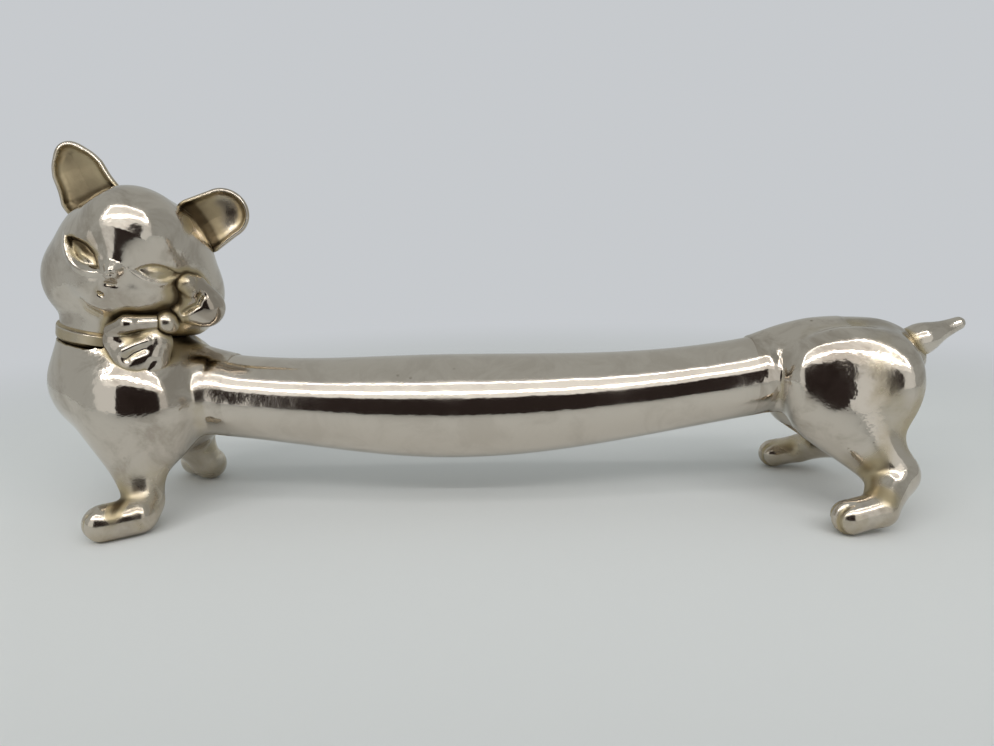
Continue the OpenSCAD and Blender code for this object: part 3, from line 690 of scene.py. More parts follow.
# Where hands rub: strength, place and width, for the rear seam, the front seam and the collar
REAR_RUB, FRONT_RUB, COLLAR_RUB = (0.45, REAR_X + 0.8, 1.8), (0.3, FRONT_X - 0.2, 1.2), (0.2, 0, 0.6)
COLLAR_RUB_TO_X = -35


def rubbed(value, strength, middle, width):
    return strength * bump_line(value, middle, width)


def hollowness(p, n):
    h = sum(weight * (1 - whole_field(p + far * n) / far) for far, weight in LOOK_OUTS)
    u = turned(p, HEAD_AT, HEAD_AXES)
    for side in (-1, 1):
        in_bowl = np.clip((CUP_NEAR - ear_bowl(ear_frame(u, side), side)) / NEAR_FADE, 0, 1)
        h = h + IN_CUP * in_bowl * np.clip((EAR_NEAR - ear_field(p, side)) / NEAR_FADE, 0, 1)
    behind = OUT_OF_REACH * (u[..., 2:] < FACE_FROM)
    h = chased(u[..., :2] + behind, UPPER_LID, spotted(u, HEAD_SPOTS, h))
    h = spotted(p, BODY_SPOTS, h) + LOW_DARKENING * np.clip((DARKENING_TOP - p[..., 2]) / DARKENING_TOP, 0, 1)
    h = h - rubbed(p[..., 0], *REAR_RUB) - rubbed(p[..., 0], *FRONT_RUB)
    return np.clip(h - rubbed(along_neck(p)[0], *COLLAR_RUB) * (p[..., 0] < COLLAR_RUB_TO_X), 0, 1)


print("hollowness on top of the bar: %.2f" % hollowness(TOP_OF_BAR, at(0, 0, 1)))


# %% Normals from the field, and the hollow attribute
# A face is sawn if it looks the way of a cut, by this cosine, and lies this close to it
SAWN_COSINE, SAWN_NEAR = 0.999, 0.004


def read(collection, label, kind, width=1):
    """The values of one property of all points, faces or corners, as an array with a row for each."""
    values = np.empty(len(collection) * width, kind)
    collection.foreach_get(label, values)
    return values.reshape(-1, width) if width > 1 else values


def finish_mesh(mesh, field, cuts=()):
    """Normals from the field, flat where the piece was sawn, and the hollow attribute, in millimetres."""
    points = read(mesh.vertices, "co", float, 3)
    n = slope(field, points)
    n /= np.maximum(np.linalg.norm(n, axis=-1), TINY)[:, None]
    hollow = mesh.attributes.new("hollow", "FLOAT", "POINT")
    hollow.data.foreach_set("value", hollowness(points, n).astype(np.float32))
    faces = read(mesh.polygons, "normal", float, 3)
    middles = read(mesh.polygons, "center", float, 3)
    flat = np.zeros(len(faces), bool)
    for point, normal in cuts:
        off = np.abs((middles - at(*point)) @ at(*normal))
        flat |= (faces @ at(*normal) > SAWN_COSINE) & (off < SAWN_NEAR)
    owner = np.repeat(np.arange(len(faces)), read(mesh.polygons, "loop_total", int))
    corners = read(mesh.loops, "vertex_index", int)
    normals = np.where(flat[owner][:, None], faces[owner], n[corners])
    mesh.polygons.foreach_set("use_smooth", np.ones(len(faces), bool))
    mesh.normals_split_custom_set(normals.tolist())


print("slope on top of the bar:", slope(bar_field, TOP_OF_BAR).round(2))


# %% From a field to a finished piece
def cast(name, field, low, high, cell, cuts=()):
    points, quads = skin(field, low, high, cell)
    mesh = bpy.data.meshes.new(name)
    mesh.from_pydata(points.tolist(), [], quads.tolist())
    if cuts:
        bm = bmesh.new()
        bm.from_mesh(mesh)
        for point, normal in cuts:
            close_cut(bm, point, normal)
        bm.to_mesh(mesh)
        bm.free()
    finish_mesh(mesh, field, cuts)
    mesh.transform(Matrix.Scale(MM, 4))
    piece = bpy.data.objects.new(name, mesh)
    bpy.context.scene.collection.objects.link(piece)
    print("%s: %d points, %d faces" % (name, len(mesh.vertices), len(mesh.polygons)))
    return piece


print("a piece is sawn off its neighbours by planes such as", FRONT_CUT)


# %% [markdown]
# ## The castings
# The planes are the soldered seams of the frame: one upright plane at each end of the bar, one
# leaning plane on top of the collar, and the table. Cells are a quarter of a millimetre on the body
# and finer on the face and the bow, where the eye looks first.

# %% Cast the two quarters
BODY_CELL = 0.25
forequarters = cast("forequarters_casting", forequarters_field, (-47.6, -12.4, -1.6), (-26.4, 12.4, 21.4),
                    BODY_CELL, [FRONT_CUT, NECK_CUT, GROUND])
hindquarters = cast("hindquarters_casting", body_field, (24.2, -12.4, -1.6), (43.4, 12.4, 20.0),
                    BODY_CELL, [REAR_CUT, GROUND])

# %% Cast the head, the ears and the tail
HEAD_CELL, EAR_CELL, TAIL_CELL = 0.17, 0.12, 0.15
EAR_BOXES = {-1: ((-43.6, -3.6, 28.0), (-36.0, 1.6, 37.4)), 1: ((-33.6, -1.4, 25.6), (-24.4, 4.8, 34.2))}
head = cast("head_casting", head_field, (-46.2, -10.6, 14.0), (-26.4, 8.2, 34.4), HEAD_CELL, [HEAD_CUT])
ears = {side: cast("ear_%s_shell" % word, lambda p, s=side: ear_field(p, s), *EAR_BOXES[side], EAR_CELL)
        for side, word in ((-1, "right"), (1, "left"))}
tail = cast("tail_stub", tail_field, (36.6, -2.6, 11.6), (46.8, 2.6, 18.8), TAIL_CELL)

# %% Cast the bow
KNOT_CELL, RIBBON_CELL = 0.1, 0.13
knot = cast("bow_knot_bead", knot_field, (-34.2, -9.4, 17.6), (-29.0, -4.4, 22.4), KNOT_CELL)
lower_loop = cast("bow_lower_ribbon", lower_loop_field, (-39.8, -11.4, 12.8), (-29.0, -3.4, 22.0),
                  RIBBON_CELL)
upper_loop = cast("bow_upper_ribbon", upper_loop_field, (-33.0, -9.4, 17.4), (-24.4, -1.4, 26.0),
                  RIBBON_CELL)


# %% [markdown]
# ## Node trees in a few words
# Geometry Nodes and shader nodes both use the same Math node. One small helper adds a Math node and
# wires or fills its inputs, so a rule reads almost like the formula that it stands for.

# %% Helpers for node trees
def wire(tree, value, socket):
    if isinstance(value, bpy.types.NodeSocket):
        tree.links.new(value, socket)
    else:
        socket.default_value = value


def calc(tree, operation, *values):
    node = tree.nodes.new("ShaderNodeMath")
    node.operation = operation
    for value, socket in zip(values, node.inputs):
        wire(tree, value, socket)
    return node.outputs[0]


def product(tree, a, b):
    return calc(tree, "MULTIPLY", a, b)


def new_tree(name, kind, inputs, outputs):
    tree = bpy.data.node_groups.new(name, kind)
    for direction, sockets in (("INPUT", inputs), ("OUTPUT", outputs)):
        for label, socket_type, value in sockets:
            socket = tree.interface.new_socket(label, in_out=direction, socket_type=socket_type)
            if value is not None:
                socket.default_value = value
    return tree, tree.nodes.new("NodeGroupInput"), tree.nodes.new("NodeGroupOutput")


def grown(name, tree, values):
    """An object with a plain mesh, in millimetres, from a node tree and values for its inputs."""
    holder = bpy.data.objects.new(name, bpy.data.meshes.new(name))
    bpy.context.scene.collection.objects.link(holder)
    modifier = holder.modifiers.new(name, "NODES")
    modifier.node_group = tree
    sockets = {s.name: s.identifier for s in tree.interface.items_tree if s.in_out == "INPUT"}
    for label, value in values.items():
        modifier[sockets[label]] = value
    depsgraph = bpy.context.evaluated_depsgraph_get()
    mesh = bpy.data.meshes.new_from_object(holder.evaluated_get(depsgraph))
    holder.modifiers.remove(modifier)
    holder.data = mesh
    return holder


print("the node trees work in millimetres, and a finished mesh is scaled by", MM)


# %% [markdown]
# ## Metal
# The plate is nickel, which is a little warmer and darker than silver. Three effects are shared by
# every piece, so each is a node group. The casting skin gives the soft ripple and the small pits
# that polishing has not taken out. The tarnish turns the hollows yellow and brown and dulls them.
# The handling marks change the gloss in patches. A painted texture could do the same, but noise on
# Object coordinates has no seams and keeps its real size on every piece.

# %% Noise and soft steps
def texture(tree, kind, coordinates, scale, **settings):
    node = tree.nodes.new(kind)
    tree.links.new(coordinates, node.inputs["Vector"])
    wire(tree, scale, node.inputs["Scale"])
    for label, value in settings.items():
        wire(tree, value, node.inputs[label])
    return node


def smooth_step(tree, value, low, high):
    node = tree.nodes.new("ShaderNodeMapRange")
    node.interpolation_type = "SMOOTHSTEP"
    for socket, given in zip(node.inputs, (value, low, high, 0.0, 1.0)):
        wire(tree, given, socket)
    return node.outputs["Result"]


def mix_colour(tree, factor, a, b):
    node = tree.nodes.new("ShaderNodeMix")
    node.data_type = "RGBA"
    wire(tree, factor, node.inputs["Factor"])
    colours = [s for s in node.inputs if s.type == "RGBA"]
    wire(tree, a, colours[0])
    wire(tree, b, colours[1])
    return [s for s in node.outputs if s.type == "RGBA"][0]


print("a noise of scale 1000 has patches about 1 mm wide, because Object coordinates are metres")

# %% The casting skin, as a height and a mask of pits
RIPPLE_SCALE, PEEL_SCALE, PIT_SCALE, PIT_FIELD_SCALE = 300.0, 950.0, 700.0, 190.0
PIT_R, PIT_EDGE_R, PIT_DEPTH = 0.05, 0.16, 0.12
PEEL_SHARE, FEWEST_PITS, PITS_SHARE, FULL_PITS = 0.4, 0.72, 0.2, 0.75
skin_tree, g_in, g_out = new_tree(
    "casting skin", "ShaderNodeTree",
    [("Place", "NodeSocketVector", None), ("Ripple", "NodeSocketFloat", 0.5),
     ("Peel", "NodeSocketFloat", 0.5), ("Pits", "NodeSocketFloat", 0.5)],
    [("Height", "NodeSocketFloat", None), ("Pit Mask", "NodeSocketFloat", None)])
place = g_in.outputs["Place"]
ripple = texture(skin_tree, "ShaderNodeTexNoise", place, RIPPLE_SCALE, Detail=1.0).outputs[0]
peel = texture(skin_tree, "ShaderNodeTexNoise", place, PEEL_SCALE, Detail=3.0, Roughness=0.55).outputs[0]
specks = texture(skin_tree, "ShaderNodeTexVoronoi", place, PIT_SCALE, Randomness=1.0).outputs["Distance"]
where = texture(skin_tree, "ShaderNodeTexNoise", place, PIT_FIELD_SCALE, Detail=3.0).outputs[0]
speck = calc(skin_tree, "SUBTRACT", 1.0, smooth_step(skin_tree, specks, PIT_R, PIT_EDGE_R))
from_value = calc(skin_tree, "SUBTRACT", FEWEST_PITS, product(skin_tree, g_in.outputs["Pits"], PITS_SHARE))
pit = product(skin_tree, speck, smooth_step(skin_tree, where, from_value, FULL_PITS))
peel = product(skin_tree, peel, product(skin_tree, g_in.outputs["Peel"], PEEL_SHARE))
height = calc(skin_tree, "ADD", product(skin_tree, ripple, g_in.outputs["Ripple"]), peel)
height = calc(skin_tree, "SUBTRACT", height, product(skin_tree, pit, PIT_DEPTH))
skin_tree.links.new(height, g_out.inputs["Height"])
skin_tree.links.new(pit, g_out.inputs["Pit Mask"])
print("node group:", skin_tree.name)

# %% The tarnish, as a colour and a mask
NICKEL, GREY_FILM = (0.665, 0.605, 0.53, 1), (0.4, 0.345, 0.285, 1)
YELLOW_STAIN, BROWN_CRUST = (0.47, 0.39, 0.25, 1), (0.11, 0.08, 0.045, 1)
CLOUD_SCALE, FILM_SCALE, RAGGED, IN_PIT = 420.0, 230.0, 0.5, 0.8
FILM_STEP, STAIN_STEP, CRUST_STEP = (0.42, 0.66), (0.16, 0.6), (0.6, 1.1)
tarnish_tree, g_in, g_out = new_tree(
    "tarnish", "ShaderNodeTree",
    [("Place", "NodeSocketVector", None), ("Hollow", "NodeSocketFloat", 0.0),
     ("Pit Mask", "NodeSocketFloat", 0.0), ("Bright", "NodeSocketColor", NICKEL),
     ("Film", "NodeSocketColor", GREY_FILM), ("Yellow", "NodeSocketColor", YELLOW_STAIN),
     ("Brown", "NodeSocketColor", BROWN_CRUST), ("Amount", "NodeSocketFloat", 1.0),
     ("Cloudy", "NodeSocketFloat", 0.5)],
    [("Colour", "NodeSocketColor", None), ("Mask", "NodeSocketFloat", None)])
place = g_in.outputs["Place"]
cloud = texture(tarnish_tree, "ShaderNodeTexNoise", place, CLOUD_SCALE, Detail=4.0).outputs[0]
uneven = product(tarnish_tree, calc(tarnish_tree, "SUBTRACT", cloud, 0.5), RAGGED)
ragged = calc(tarnish_tree, "ADD", g_in.outputs["Hollow"], uneven)
film = texture(tarnish_tree, "ShaderNodeTexNoise", place, FILM_SCALE,
               Detail=5.0, Roughness=0.65, Distortion=0.6).outputs[0]
film = product(tarnish_tree, smooth_step(tarnish_tree, film, *FILM_STEP), g_in.outputs["Cloudy"])
stain = product(tarnish_tree, smooth_step(tarnish_tree, ragged, *STAIN_STEP), g_in.outputs["Amount"])
deep = product(tarnish_tree, smooth_step(tarnish_tree, ragged, *CRUST_STEP), g_in.outputs["Amount"])
deep = calc(tarnish_tree, "MAXIMUM", deep, product(tarnish_tree, g_in.outputs["Pit Mask"], IN_PIT))
filmed = mix_colour(tarnish_tree, film, g_in.outputs["Bright"], g_in.outputs["Film"])
yellowed = mix_colour(tarnish_tree, stain, filmed, g_in.outputs["Yellow"])
browned = mix_colour(tarnish_tree, deep, yellowed, g_in.outputs["Brown"])
tarnish_tree.links.new(browned, g_out.inputs["Colour"])
tarnish_tree.links.new(calc(tarnish_tree, "MAXIMUM", stain, deep), g_out.inputs["Mask"])
print("node group:", tarnish_tree.name)

# %% The handling marks, as a roughness
SMUDGE_SCALE, SMUDGE_STEP, DULLED_BY_TARNISH = 150.0, (0.42, 0.72), 0.32
marks_tree, g_in, g_out = new_tree(
    "handling marks", "ShaderNodeTree",
    [("Place", "NodeSocketVector", None), ("Polished", "NodeSocketFloat", 0.07),
     ("Dulled", "NodeSocketFloat", 0.2), ("Tarnish", "NodeSocketFloat", 0.0)],
    [("Roughness", "NodeSocketFloat", None)])
place = g_in.outputs["Place"]
smudge = texture(marks_tree, "ShaderNodeTexNoise", place, SMUDGE_SCALE, Detail=5.0, Roughness=0.62).outputs[0]
smudge = smooth_step(marks_tree, smudge, *SMUDGE_STEP)
span = calc(marks_tree, "SUBTRACT", g_in.outputs["Dulled"], g_in.outputs["Polished"])
dull = calc(marks_tree, "ADD", g_in.outputs["Polished"], product(marks_tree, smudge, span))
dull = calc(marks_tree, "ADD", dull, product(marks_tree, g_in.outputs["Tarnish"], DULLED_BY_TARNISH))
marks_tree.links.new(dull, g_out.inputs["Roughness"])
print("node group:", marks_tree.name)


# %% The plated metals
def plated(name, bright, ripple, peel, pits, tarnish, cloudy, polished, dulled, bump):
    material = bpy.data.materials.new(name)
    material.use_nodes = True
    tree = material.node_tree
    shader = tree.nodes["Principled BSDF"]
    shader.inputs["Metallic"].default_value = 1.0
    place = tree.nodes.new("ShaderNodeTexCoord").outputs["Object"]
    hollow = tree.nodes.new("ShaderNodeAttribute")
    hollow.attribute_name = "hollow"

    def effect(group, **values):
        node = tree.nodes.new("ShaderNodeGroup")
        node.node_tree = group
        for label, value in values.items():
            wire(tree, value, node.inputs[label.replace("_", " ")])
        return node.outputs

    skin_out = effect(skin_tree, Place=place, Ripple=ripple, Peel=peel, Pits=pits)
    tarnish_out = effect(tarnish_tree, Place=place, Hollow=hollow.outputs["Fac"],
                         Pit_Mask=skin_out["Pit Mask"], Bright=bright, Amount=tarnish, Cloudy=cloudy)
    marks_out = effect(marks_tree, Place=place, Polished=polished, Dulled=dulled, Tarnish=tarnish_out["Mask"])
    bump_node = tree.nodes.new("ShaderNodeBump")
    bump_node.inputs["Strength"].default_value = 1.0
    bump_node.inputs["Distance"].default_value = bump * MM
    tree.links.new(skin_out["Height"], bump_node.inputs["Height"])
    tree.links.new(tarnish_out["Colour"], shader.inputs["Base Color"])
    tree.links.new(marks_out["Roughness"], shader.inputs["Roughness"])
    tree.links.new(bump_node.outputs["Normal"], shader.inputs["Normal"])
    return material


# The castings' plate has the nickel's own colour, set a little darker than the bar's as painted shade for the
# shadowed floor that their under sides reflect
plate_on_castings = plated("plate on castings", bright=(0.635, 0.575, 0.5, 1), ripple=1.1, peel=0.75,
                           pits=0.7, tarnish=1.0, cloudy=0.75, polished=0.08, dulled=0.19, bump=0.1)
plate_on_bar = plated("plate on bar", bright=(0.655, 0.595, 0.52, 1), ripple=0.45, peel=0.45,
                      pits=0.6, tarnish=0.8, cloudy=0.25, polished=0.07, dulled=0.16, bump=0.08)
plate_on_bow = plated("plate on bow", bright=(0.6, 0.54, 0.465, 1), ripple=0.6, peel=0.5,
                      pits=0.3, tarnish=1.0, cloudy=0.9, polished=0.09, dulled=0.2, bump=0.08)
print("materials:", [m.name for m in bpy.data.materials])


# %% [markdown]
# ## The bar
# The bar is the main piece and its shape follows a rule, so Geometry Nodes make it. A closed unit
# cylinder is stretched along the rule: each ring moves to its height and takes its thickness. A
# curve with a round profile would be close, but its end rings would lean with the sag, while the
# sawn ends of the real bar are upright.

# %% The inputs of the bar, and the unit cylinder
RINGS, SIDES = 180, 112
bar_tree, g_in, g_out = new_tree(
    "sagging bar", "GeometryNodeTree",
    [("Start", "NodeSocketFloat", FRONT_X), ("Length", "NodeSocketFloat", BAR_L),
     ("Lowest Height", "NodeSocketFloat", BAR_Z), ("Front Rise", "NodeSocketFloat", FRONT_RISE),
     ("Rear Rise", "NodeSocketFloat", REAR_RISE), ("Front Radius", "NodeSocketFloat", FRONT_R),
     ("Fat Radius", "NodeSocketFloat", FAT_R), ("Rear Radius", "NodeSocketFloat", REAR_R),
     ("Low Share", "NodeSocketFloat", LOW_SHARE), ("Fat Share", "NodeSocketFloat", FAT_SHARE),
     ("Rings", "NodeSocketInt", RINGS), ("Sides", "NodeSocketInt", SIDES),
     ("Metal", "NodeSocketMaterial", None)],
    [("Geometry", "NodeSocketGeometry", None)])
value = g_in.outputs
tube = bar_tree.nodes.new("GeometryNodeMeshCylinder")
tube.fill_type = "NGON"
for label, given in (("Vertices", value["Sides"]), ("Side Segments", value["Rings"]),
                     ("Radius", 1.0), ("Depth", 1.0)):
    wire(bar_tree, given, tube.inputs[label])
split = bar_tree.nodes.new("ShaderNodeSeparateXYZ")
bar_tree.links.new(bar_tree.nodes.new("GeometryNodeInputPosition").outputs[0], split.inputs[0])
print("inputs of the bar:", len(value) - 1)


# %% The rule of the bar as nodes
def bar_calc(operation, *values):
    return calc(bar_tree, operation, *values)


along = bar_calc("ADD", split.outputs["Z"], 0.5)


def share_before(point):
    return bar_calc("DIVIDE", bar_calc("MAXIMUM", bar_calc("SUBTRACT", point, along), 0.0), point)


def share_after(point):
    rest = bar_calc("SUBTRACT", 1.0, point)
    return bar_calc("DIVIDE", bar_calc("MAXIMUM", bar_calc("SUBTRACT", along, point), 0.0), rest)


def risen(rise, share):
    return bar_calc("MULTIPLY", rise, bar_calc("POWER", share, 2.0))


def slimmed(radius, share):
    bell = bar_calc("POWER", bar_calc("SINE", bar_calc("MULTIPLY", share, math.pi / 2)), 2.0)
    return bar_calc("MULTIPLY", bar_calc("SUBTRACT", value["Fat Radius"], radius), bell)


rises = bar_calc("ADD", risen(value["Front Rise"], share_before(value["Low Share"])),
                 risen(value["Rear Rise"], share_after(value["Low Share"])))
middle = bar_calc("ADD", value["Lowest Height"], rises)
slims = bar_calc("ADD", slimmed(value["Front Radius"], share_before(value["Fat Share"])),
                 slimmed(value["Rear Radius"], share_after(value["Fat Share"])))
thick = bar_calc("SUBTRACT", value["Fat Radius"], slims)
print("nodes that hold the rule:", len(bar_tree.nodes))

# %% Put every point in its place
spot = bar_tree.nodes.new("ShaderNodeCombineXYZ")
ahead = bar_calc("MULTIPLY", value["Length"], along)
wire(bar_tree, bar_calc("ADD", value["Start"], ahead), spot.inputs["X"])
wire(bar_tree, bar_calc("MULTIPLY", split.outputs["X"], thick), spot.inputs["Y"])
wire(bar_tree, bar_calc("ADD", middle, bar_calc("MULTIPLY", split.outputs["Y"], thick)), spot.inputs["Z"])
place_node = bar_tree.nodes.new("GeometryNodeSetPosition")
bar_tree.links.new(tube.outputs["Mesh"], place_node.inputs["Geometry"])
bar_tree.links.new(spot.outputs[0], place_node.inputs["Position"])


def end_tree(tree, geometry, metal, output):
    real = tree.nodes.new("GeometryNodeRealizeInstances")
    painted = tree.nodes.new("GeometryNodeSetMaterial")
    tree.links.new(geometry, real.inputs[0])
    tree.links.new(real.outputs[0], painted.inputs["Geometry"])
    tree.links.new(metal, painted.inputs["Material"])
    tree.links.new(painted.outputs[0], output.inputs[0])


end_tree(bar_tree, place_node.outputs[0], value["Metal"], g_out)
bar = grown("bar_rod", bar_tree, {"Length": BAR_L, "Metal": plate_on_bar})
finish_mesh(bar.data, body_field, BAR_CUTS)
bar.data.transform(Matrix.Scale(MM, 4))
print("bar: %d faces, size in mm %s" % (len(bar.data.polygons), [round(v / MM, 1) for v in bar.dimensions]))

# %% [markdown]
# ## The collar
# The collar is a ribbon that follows the round of the neck, so it is swept along a circle in
# Geometry Nodes: a rectangle with rounded corners is the section. A torus would be too round, and
# the photograph shows a flat band with soft edges between two dark grooves. The fine ridges along
# the band are only in the normals, which come from the collar's field.

# %% The inputs of the collar
COLLAR_IN, SOFT_EDGE = 4.86, 0.4
ROUND_STEPS, EDGE_STEPS = 160, 8
collar_tree, g_in, g_out = new_tree(
    "collar band", "GeometryNodeTree",
    [("Radius", "NodeSocketFloat", COLLAR_R), ("Wall", "NodeSocketFloat", COLLAR_R - COLLAR_IN),
     ("Height", "NodeSocketFloat", COLLAR_H), ("Soft Edge", "NodeSocketFloat", SOFT_EDGE),
     ("Lean", "NodeSocketVector", (0, NECK_LEAN, 0)), ("Middle", "NodeSocketVector", tuple(COLLAR_AT)),
     ("Metal", "NodeSocketMaterial", None)],
    [("Geometry", "NodeSocketGeometry", None)])
value = g_in.outputs
print("inputs of the collar:", len(value) - 1)

# %% Sweep the collar
round_path = collar_tree.nodes.new("GeometryNodeCurvePrimitiveCircle")
round_path.inputs["Resolution"].default_value = ROUND_STEPS
half_wall = calc(collar_tree, "DIVIDE", value["Wall"], 2.0)
wire(collar_tree, calc(collar_tree, "SUBTRACT", value["Radius"], half_wall), round_path.inputs["Radius"])
section = collar_tree.nodes.new("GeometryNodeCurvePrimitiveQuadrilateral")
wire(collar_tree, value["Wall"], section.inputs["Width"])
wire(collar_tree, value["Height"], section.inputs["Height"])
soft = collar_tree.nodes.new("GeometryNodeFilletCurve")
soft.mode = "POLY"
collar_tree.links.new(section.outputs[0], soft.inputs["Curve"])
soft.inputs["Count"].default_value = EDGE_STEPS
wire(collar_tree, value["Soft Edge"], soft.inputs["Radius"])
sweep = collar_tree.nodes.new("GeometryNodeCurveToMesh")
collar_tree.links.new(round_path.outputs["Curve"], sweep.inputs["Curve"])
collar_tree.links.new(soft.outputs[0], sweep.inputs["Profile Curve"])
lean = collar_tree.nodes.new("GeometryNodeTransform")
collar_tree.links.new(sweep.outputs[0], lean.inputs["Geometry"])
wire(collar_tree, value["Middle"], lean.inputs["Translation"])
wire(collar_tree, value["Lean"], lean.inputs["Rotation"])
end_tree(collar_tree, lean.outputs[0], value["Metal"], g_out)
collar = grown("collar_band", collar_tree, {"Radius": COLLAR_R, "Metal": plate_on_bow})
bm = bmesh.new()
bm.from_mesh(collar.data)
bmesh.ops.recalc_face_normals(bm, faces=bm.faces[:])
bm.to_mesh(collar.data)
bm.free()
finish_mesh(collar.data, collar_field)
collar.data.transform(Matrix.Scale(MM, 4))
print("collar: %d faces" % len(collar.data.polygons))

# %% [markdown]
# ## Pieces and bodies
# Nothing on the object moves, so every piece rides on the one body. Each piece is listed with the solid of
# the frame that it stands for, the name of a material slot and its metal; that solid is hidden.

# %% Put the pieces on the body, and hide the frame's solids
CASTING, TRIM = ("cast_metal", plate_on_castings), ("trim_metal", plate_on_bow)
FOR_NODES = [
    (bar, "bar", "bar_metal", plate_on_bar), (forequarters, "forequarters", *CASTING),
    (hindquarters, "hindquarters", *CASTING), (head, "head", *CASTING), (ears[-1], "ear_right", *CASTING),
    (ears[1], "ear_left", *CASTING), (tail, "tail", *CASTING), (collar, "collar", *TRIM),
    (knot, "bow_knot", *TRIM), (lower_loop, "bow_lower_loop", *TRIM),
    (upper_loop, "bow_upper_loop", *TRIM)]
for piece, node, slot, metal in FOR_NODES:
    if metal.name not in [m.name for m in piece.data.materials if m]:
        piece.data.materials.append(metal)
    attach(piece, "root")
    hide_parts(node)
print("pieces:", len(FOR_NODES))

# %% [markdown]
# ## The light tent
# Mirror metal shows what stands round it, so the light is a room. The photograph shows a white tent:
# pale walls, a lamp panel whose bright rim shows as two lines along the bar, and under it the dark
# opening for the camera. The walls and the opening are cards that the camera doesn't see, so any
# view is free, and only the floor is left in the picture.

# %% Plain materials and cards
MATT, FAINT_SHINE = 0.9, 0.1


def plain(name, colour, strength=None):
    material = bpy.data.materials.new(name)
    material.use_nodes = True
    shader = material.node_tree.nodes["Principled BSDF"]
    shader.inputs["Base Color"].default_value = colour
    shader.inputs["Roughness"].default_value = MATT
    shader.inputs["Specular IOR Level"].default_value = FAINT_SHINE
    if strength is not None:
        shader.inputs["Base Color"].default_value = (0, 0, 0, 1)
        shader.inputs["Specular IOR Level"].default_value = 0.0
        shader.inputs["Emission Color"].default_value = colour
        shader.inputs["Emission Strength"].default_value = strength
    return material


def card(name, corners, material, seen=False):
    mesh = bpy.data.meshes.new(name)
    mesh.from_pydata([tuple(MM * v for v in c) for c in corners], [], [tuple(range(len(corners)))])
    mesh.materials.append(material)
    obj = bpy.data.objects.new(name, mesh)
    bpy.context.scene.collection.objects.link(obj)
    obj.visible_camera = seen


print("cards are in millimetres, and one metre is %d of them" % round(1 / MM))

# %% The floor
# Near the cat the paper takes light and shadow. Far off it fades into the background's own colour.
BACKGROUND, PAPER = (0.57, 0.59, 0.613, 1), (0.8, 0.82, 0.825, 1)
FADE_FROM, FADE_TO = 0.06, 0.16
FLOOR_R, FLOOR_SIDES, FLOOR_Z = 600, 96, -0.01
floor_paper = plain("floor paper", PAPER)
tree = floor_paper.node_tree
far = tree.nodes.new("ShaderNodeEmission")
far.inputs["Color"].default_value = BACKGROUND
length = tree.nodes.new("ShaderNodeVectorMath")
length.operation = "LENGTH"
tree.links.new(tree.nodes.new("ShaderNodeTexCoord").outputs["Object"], length.inputs[0])
fade = product(tree, smooth_step(tree, length.outputs["Value"], FADE_FROM, FADE_TO),
               tree.nodes.new("ShaderNodeLightPath").outputs["Is Camera Ray"])
mix = tree.nodes.new("ShaderNodeMixShader")
wire(tree, fade, mix.inputs[0])
tree.links.new(tree.nodes["Principled BSDF"].outputs[0], mix.inputs[1])
tree.links.new(far.outputs[0], mix.inputs[2])
tree.links.new(mix.outputs[0], tree.nodes["Material Output"].inputs["Surface"])
turns = np.linspace(0, 2 * math.pi, FLOOR_SIDES + 1)[:-1]
rim = [(FLOOR_R * math.cos(a), FLOOR_R * math.sin(a), FLOOR_Z) for a in turns]
card("floor", rim, floor_paper, seen=True)
print("floor: %d mm across" % (2 * FLOOR_R))

# %% The walls of the tent
WEST, EAST, FRONT, BACK, ROOF = -135, 135, -86, 170, 215
WALL_WHITE, FRONT_WHITE = (0.96, 1.0, 0.98, 1), (0.98, 1.0, 0.99, 1)
wall = plain("tent wall", WALL_WHITE, strength=0.47)
shaded_wall = plain("tent shaded wall", WALL_WHITE, strength=0.42)
front_wall = plain("tent front wall", FRONT_WHITE, strength=0.78)


def upright(name, west, east, low, high, y, material):
    card(name, [(west, y, low), (east, y, low), (east, y, high), (west, y, high)], material)


def flank(name, x, material):
    card(name, [(x, FRONT, 0), (x, BACK, 0), (x, BACK, ROOF), (x, FRONT, ROOF)], material)


upright("tent_back", WEST, EAST, 0, ROOF, BACK, wall)
card("tent_roof", [(WEST, FRONT, ROOF), (EAST, FRONT, ROOF), (EAST, BACK, ROOF), (WEST, BACK, ROOF)], wall)
flank("tent_west", WEST, wall)
flank("tent_east", EAST, shaded_wall)
upright("tent_front", WEST, EAST, 0, ROOF, FRONT, front_wall)
print("the tent is %d by %d by %d mm" % (EAST - WEST, BACK - FRONT, ROOF))

# %% The opening and the brighter wall over it
OPENING_WEST, OPENING_EAST, OPENING_TOP = -62, 52, 56
BRIGHT_HALF_W, BRIGHT_TOP = 102, 160
CARD_Y, LAMP_Y = FRONT + 1, FRONT + 2
dark = plain("dark opening", (1.0, 0.75, 0.7, 1), strength=0.03)
bright_wall = plain("tent wall over the opening", (1.0, 1.0, 0.985, 1), strength=1.12)
upright("opening", OPENING_WEST, OPENING_EAST, 0, OPENING_TOP, CARD_Y, dark)
upright("over_opening", -BRIGHT_HALF_W, BRIGHT_HALF_W, OPENING_TOP, BRIGHT_TOP, CARD_Y, bright_wall)
print("the opening is %d mm wide" % (OPENING_EAST - OPENING_WEST))

# %% The lamps
LAMP_COLOUR, RADIANCE = (1.0, 0.99, 0.97), 9.0


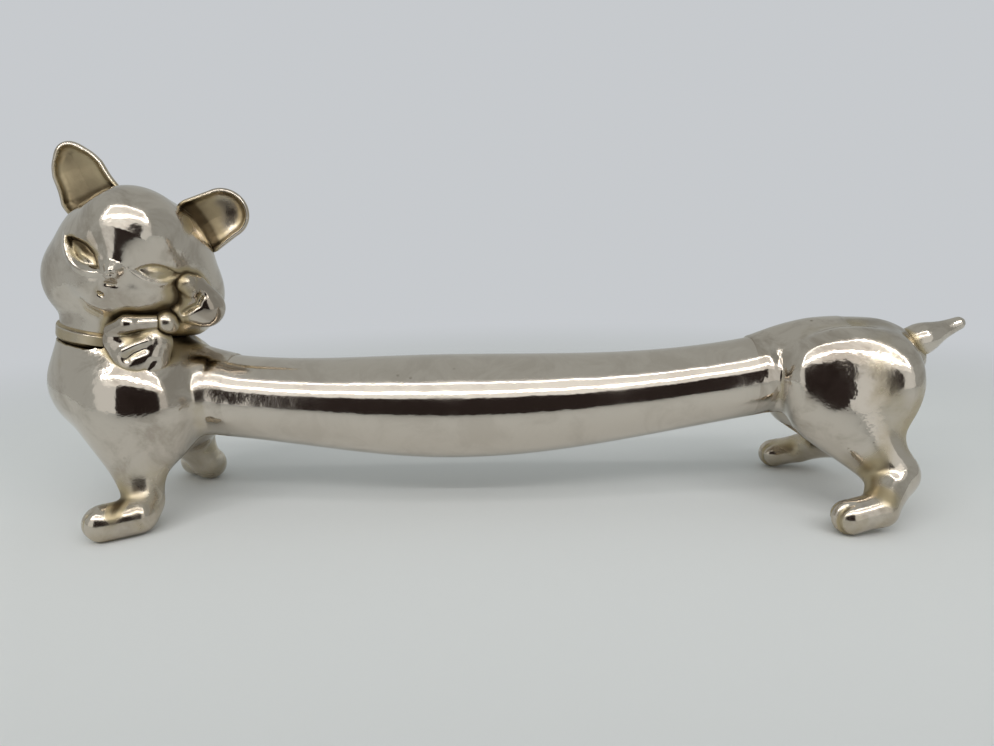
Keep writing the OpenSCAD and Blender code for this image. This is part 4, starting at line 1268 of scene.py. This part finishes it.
def strip(name, x, z, size_x, size_z):
    """A strip lamp on the front wall that shines into the tent. Its energy follows from its radiance."""
    lamp = bpy.data.lights.new(name, "AREA")
    lamp.shape = "RECTANGLE"
    lamp.size, lamp.size_y = size_x * MM, size_z * MM
    lamp.energy = RADIANCE * math.pi * lamp.size * lamp.size_y
    lamp.color = LAMP_COLOUR
    obj = bpy.data.objects.new(name, lamp)
    inwards = Matrix.Rotation(-math.pi / 2, 4, "X").inverted()
    obj.matrix_world = Matrix.Translation(Vector((x, LAMP_Y, z)) * MM) @ inwards
    bpy.context.scene.collection.objects.link(obj)
    obj.visible_camera = False


# A strip has its name, its middle across and up, its width and its height, in millimetres
STRIPS = [("lamp_low", 0, 82, 220, 8), ("lamp_high", 0, 166, 220, 8),
          ("lamp_west", -106, 124, 8, 76), ("lamp_east", 106, 124, 8, 76)]
for name, x, z, size_x, size_z in STRIPS:
    strip(name, x, z, size_x, size_z)
print("lamps:", [s[0] for s in STRIPS])

# %% The world
world = bpy.data.worlds.new("studio")
bpy.context.scene.world = world
world.use_nodes = True
world.node_tree.nodes["Background"].inputs["Color"].default_value = BACKGROUND
world.node_tree.nodes["Background"].inputs["Strength"].default_value = 1.0

# %% [markdown]
# ## The camera
# The photograph was taken from close by, a little above the object. The place and the angles were
# worked out from where the four paws stand, and the focal length from how much larger the near
# paws look than the far ones.

# %% The camera
CAMERA_AT, YAW, PITCH, ROLL = Vector((2.231, -68.462, 26.929)) * MM, -2.081, 11.01, -1.393
FOCAL_PX, IMAGE_W = 680.0, 994
camera = bpy.data.cameras.new("camera")
camera.sensor_fit, camera.sensor_width = "HORIZONTAL", 36.0
camera.lens = camera.sensor_width * FOCAL_PX / IMAGE_W
camera.clip_start = 0.001
camera_object = bpy.data.objects.new("camera", camera)
yaw, pitch, roll = (math.radians(v) for v in (YAW, PITCH, ROLL))
forward = Vector((math.sin(yaw) * math.cos(pitch), math.cos(yaw) * math.cos(pitch), -math.sin(pitch)))
right = Vector((math.cos(yaw), -math.sin(yaw), 0))
upward = right.cross(forward)
tilted_right = math.cos(roll) * right + math.sin(roll) * upward
tilted_up = math.cos(roll) * upward - math.sin(roll) * right
turn = Matrix((tilted_right, tilted_up, -forward)).transposed().to_4x4()
camera_object.matrix_world = Matrix.Translation(CAMERA_AT) @ turn
bpy.context.scene.collection.objects.link(camera_object)
bpy.context.scene.camera = camera_object
bpy.context.scene.view_settings.view_transform = "Standard"
print("lens: %.2f mm" % camera.lens)
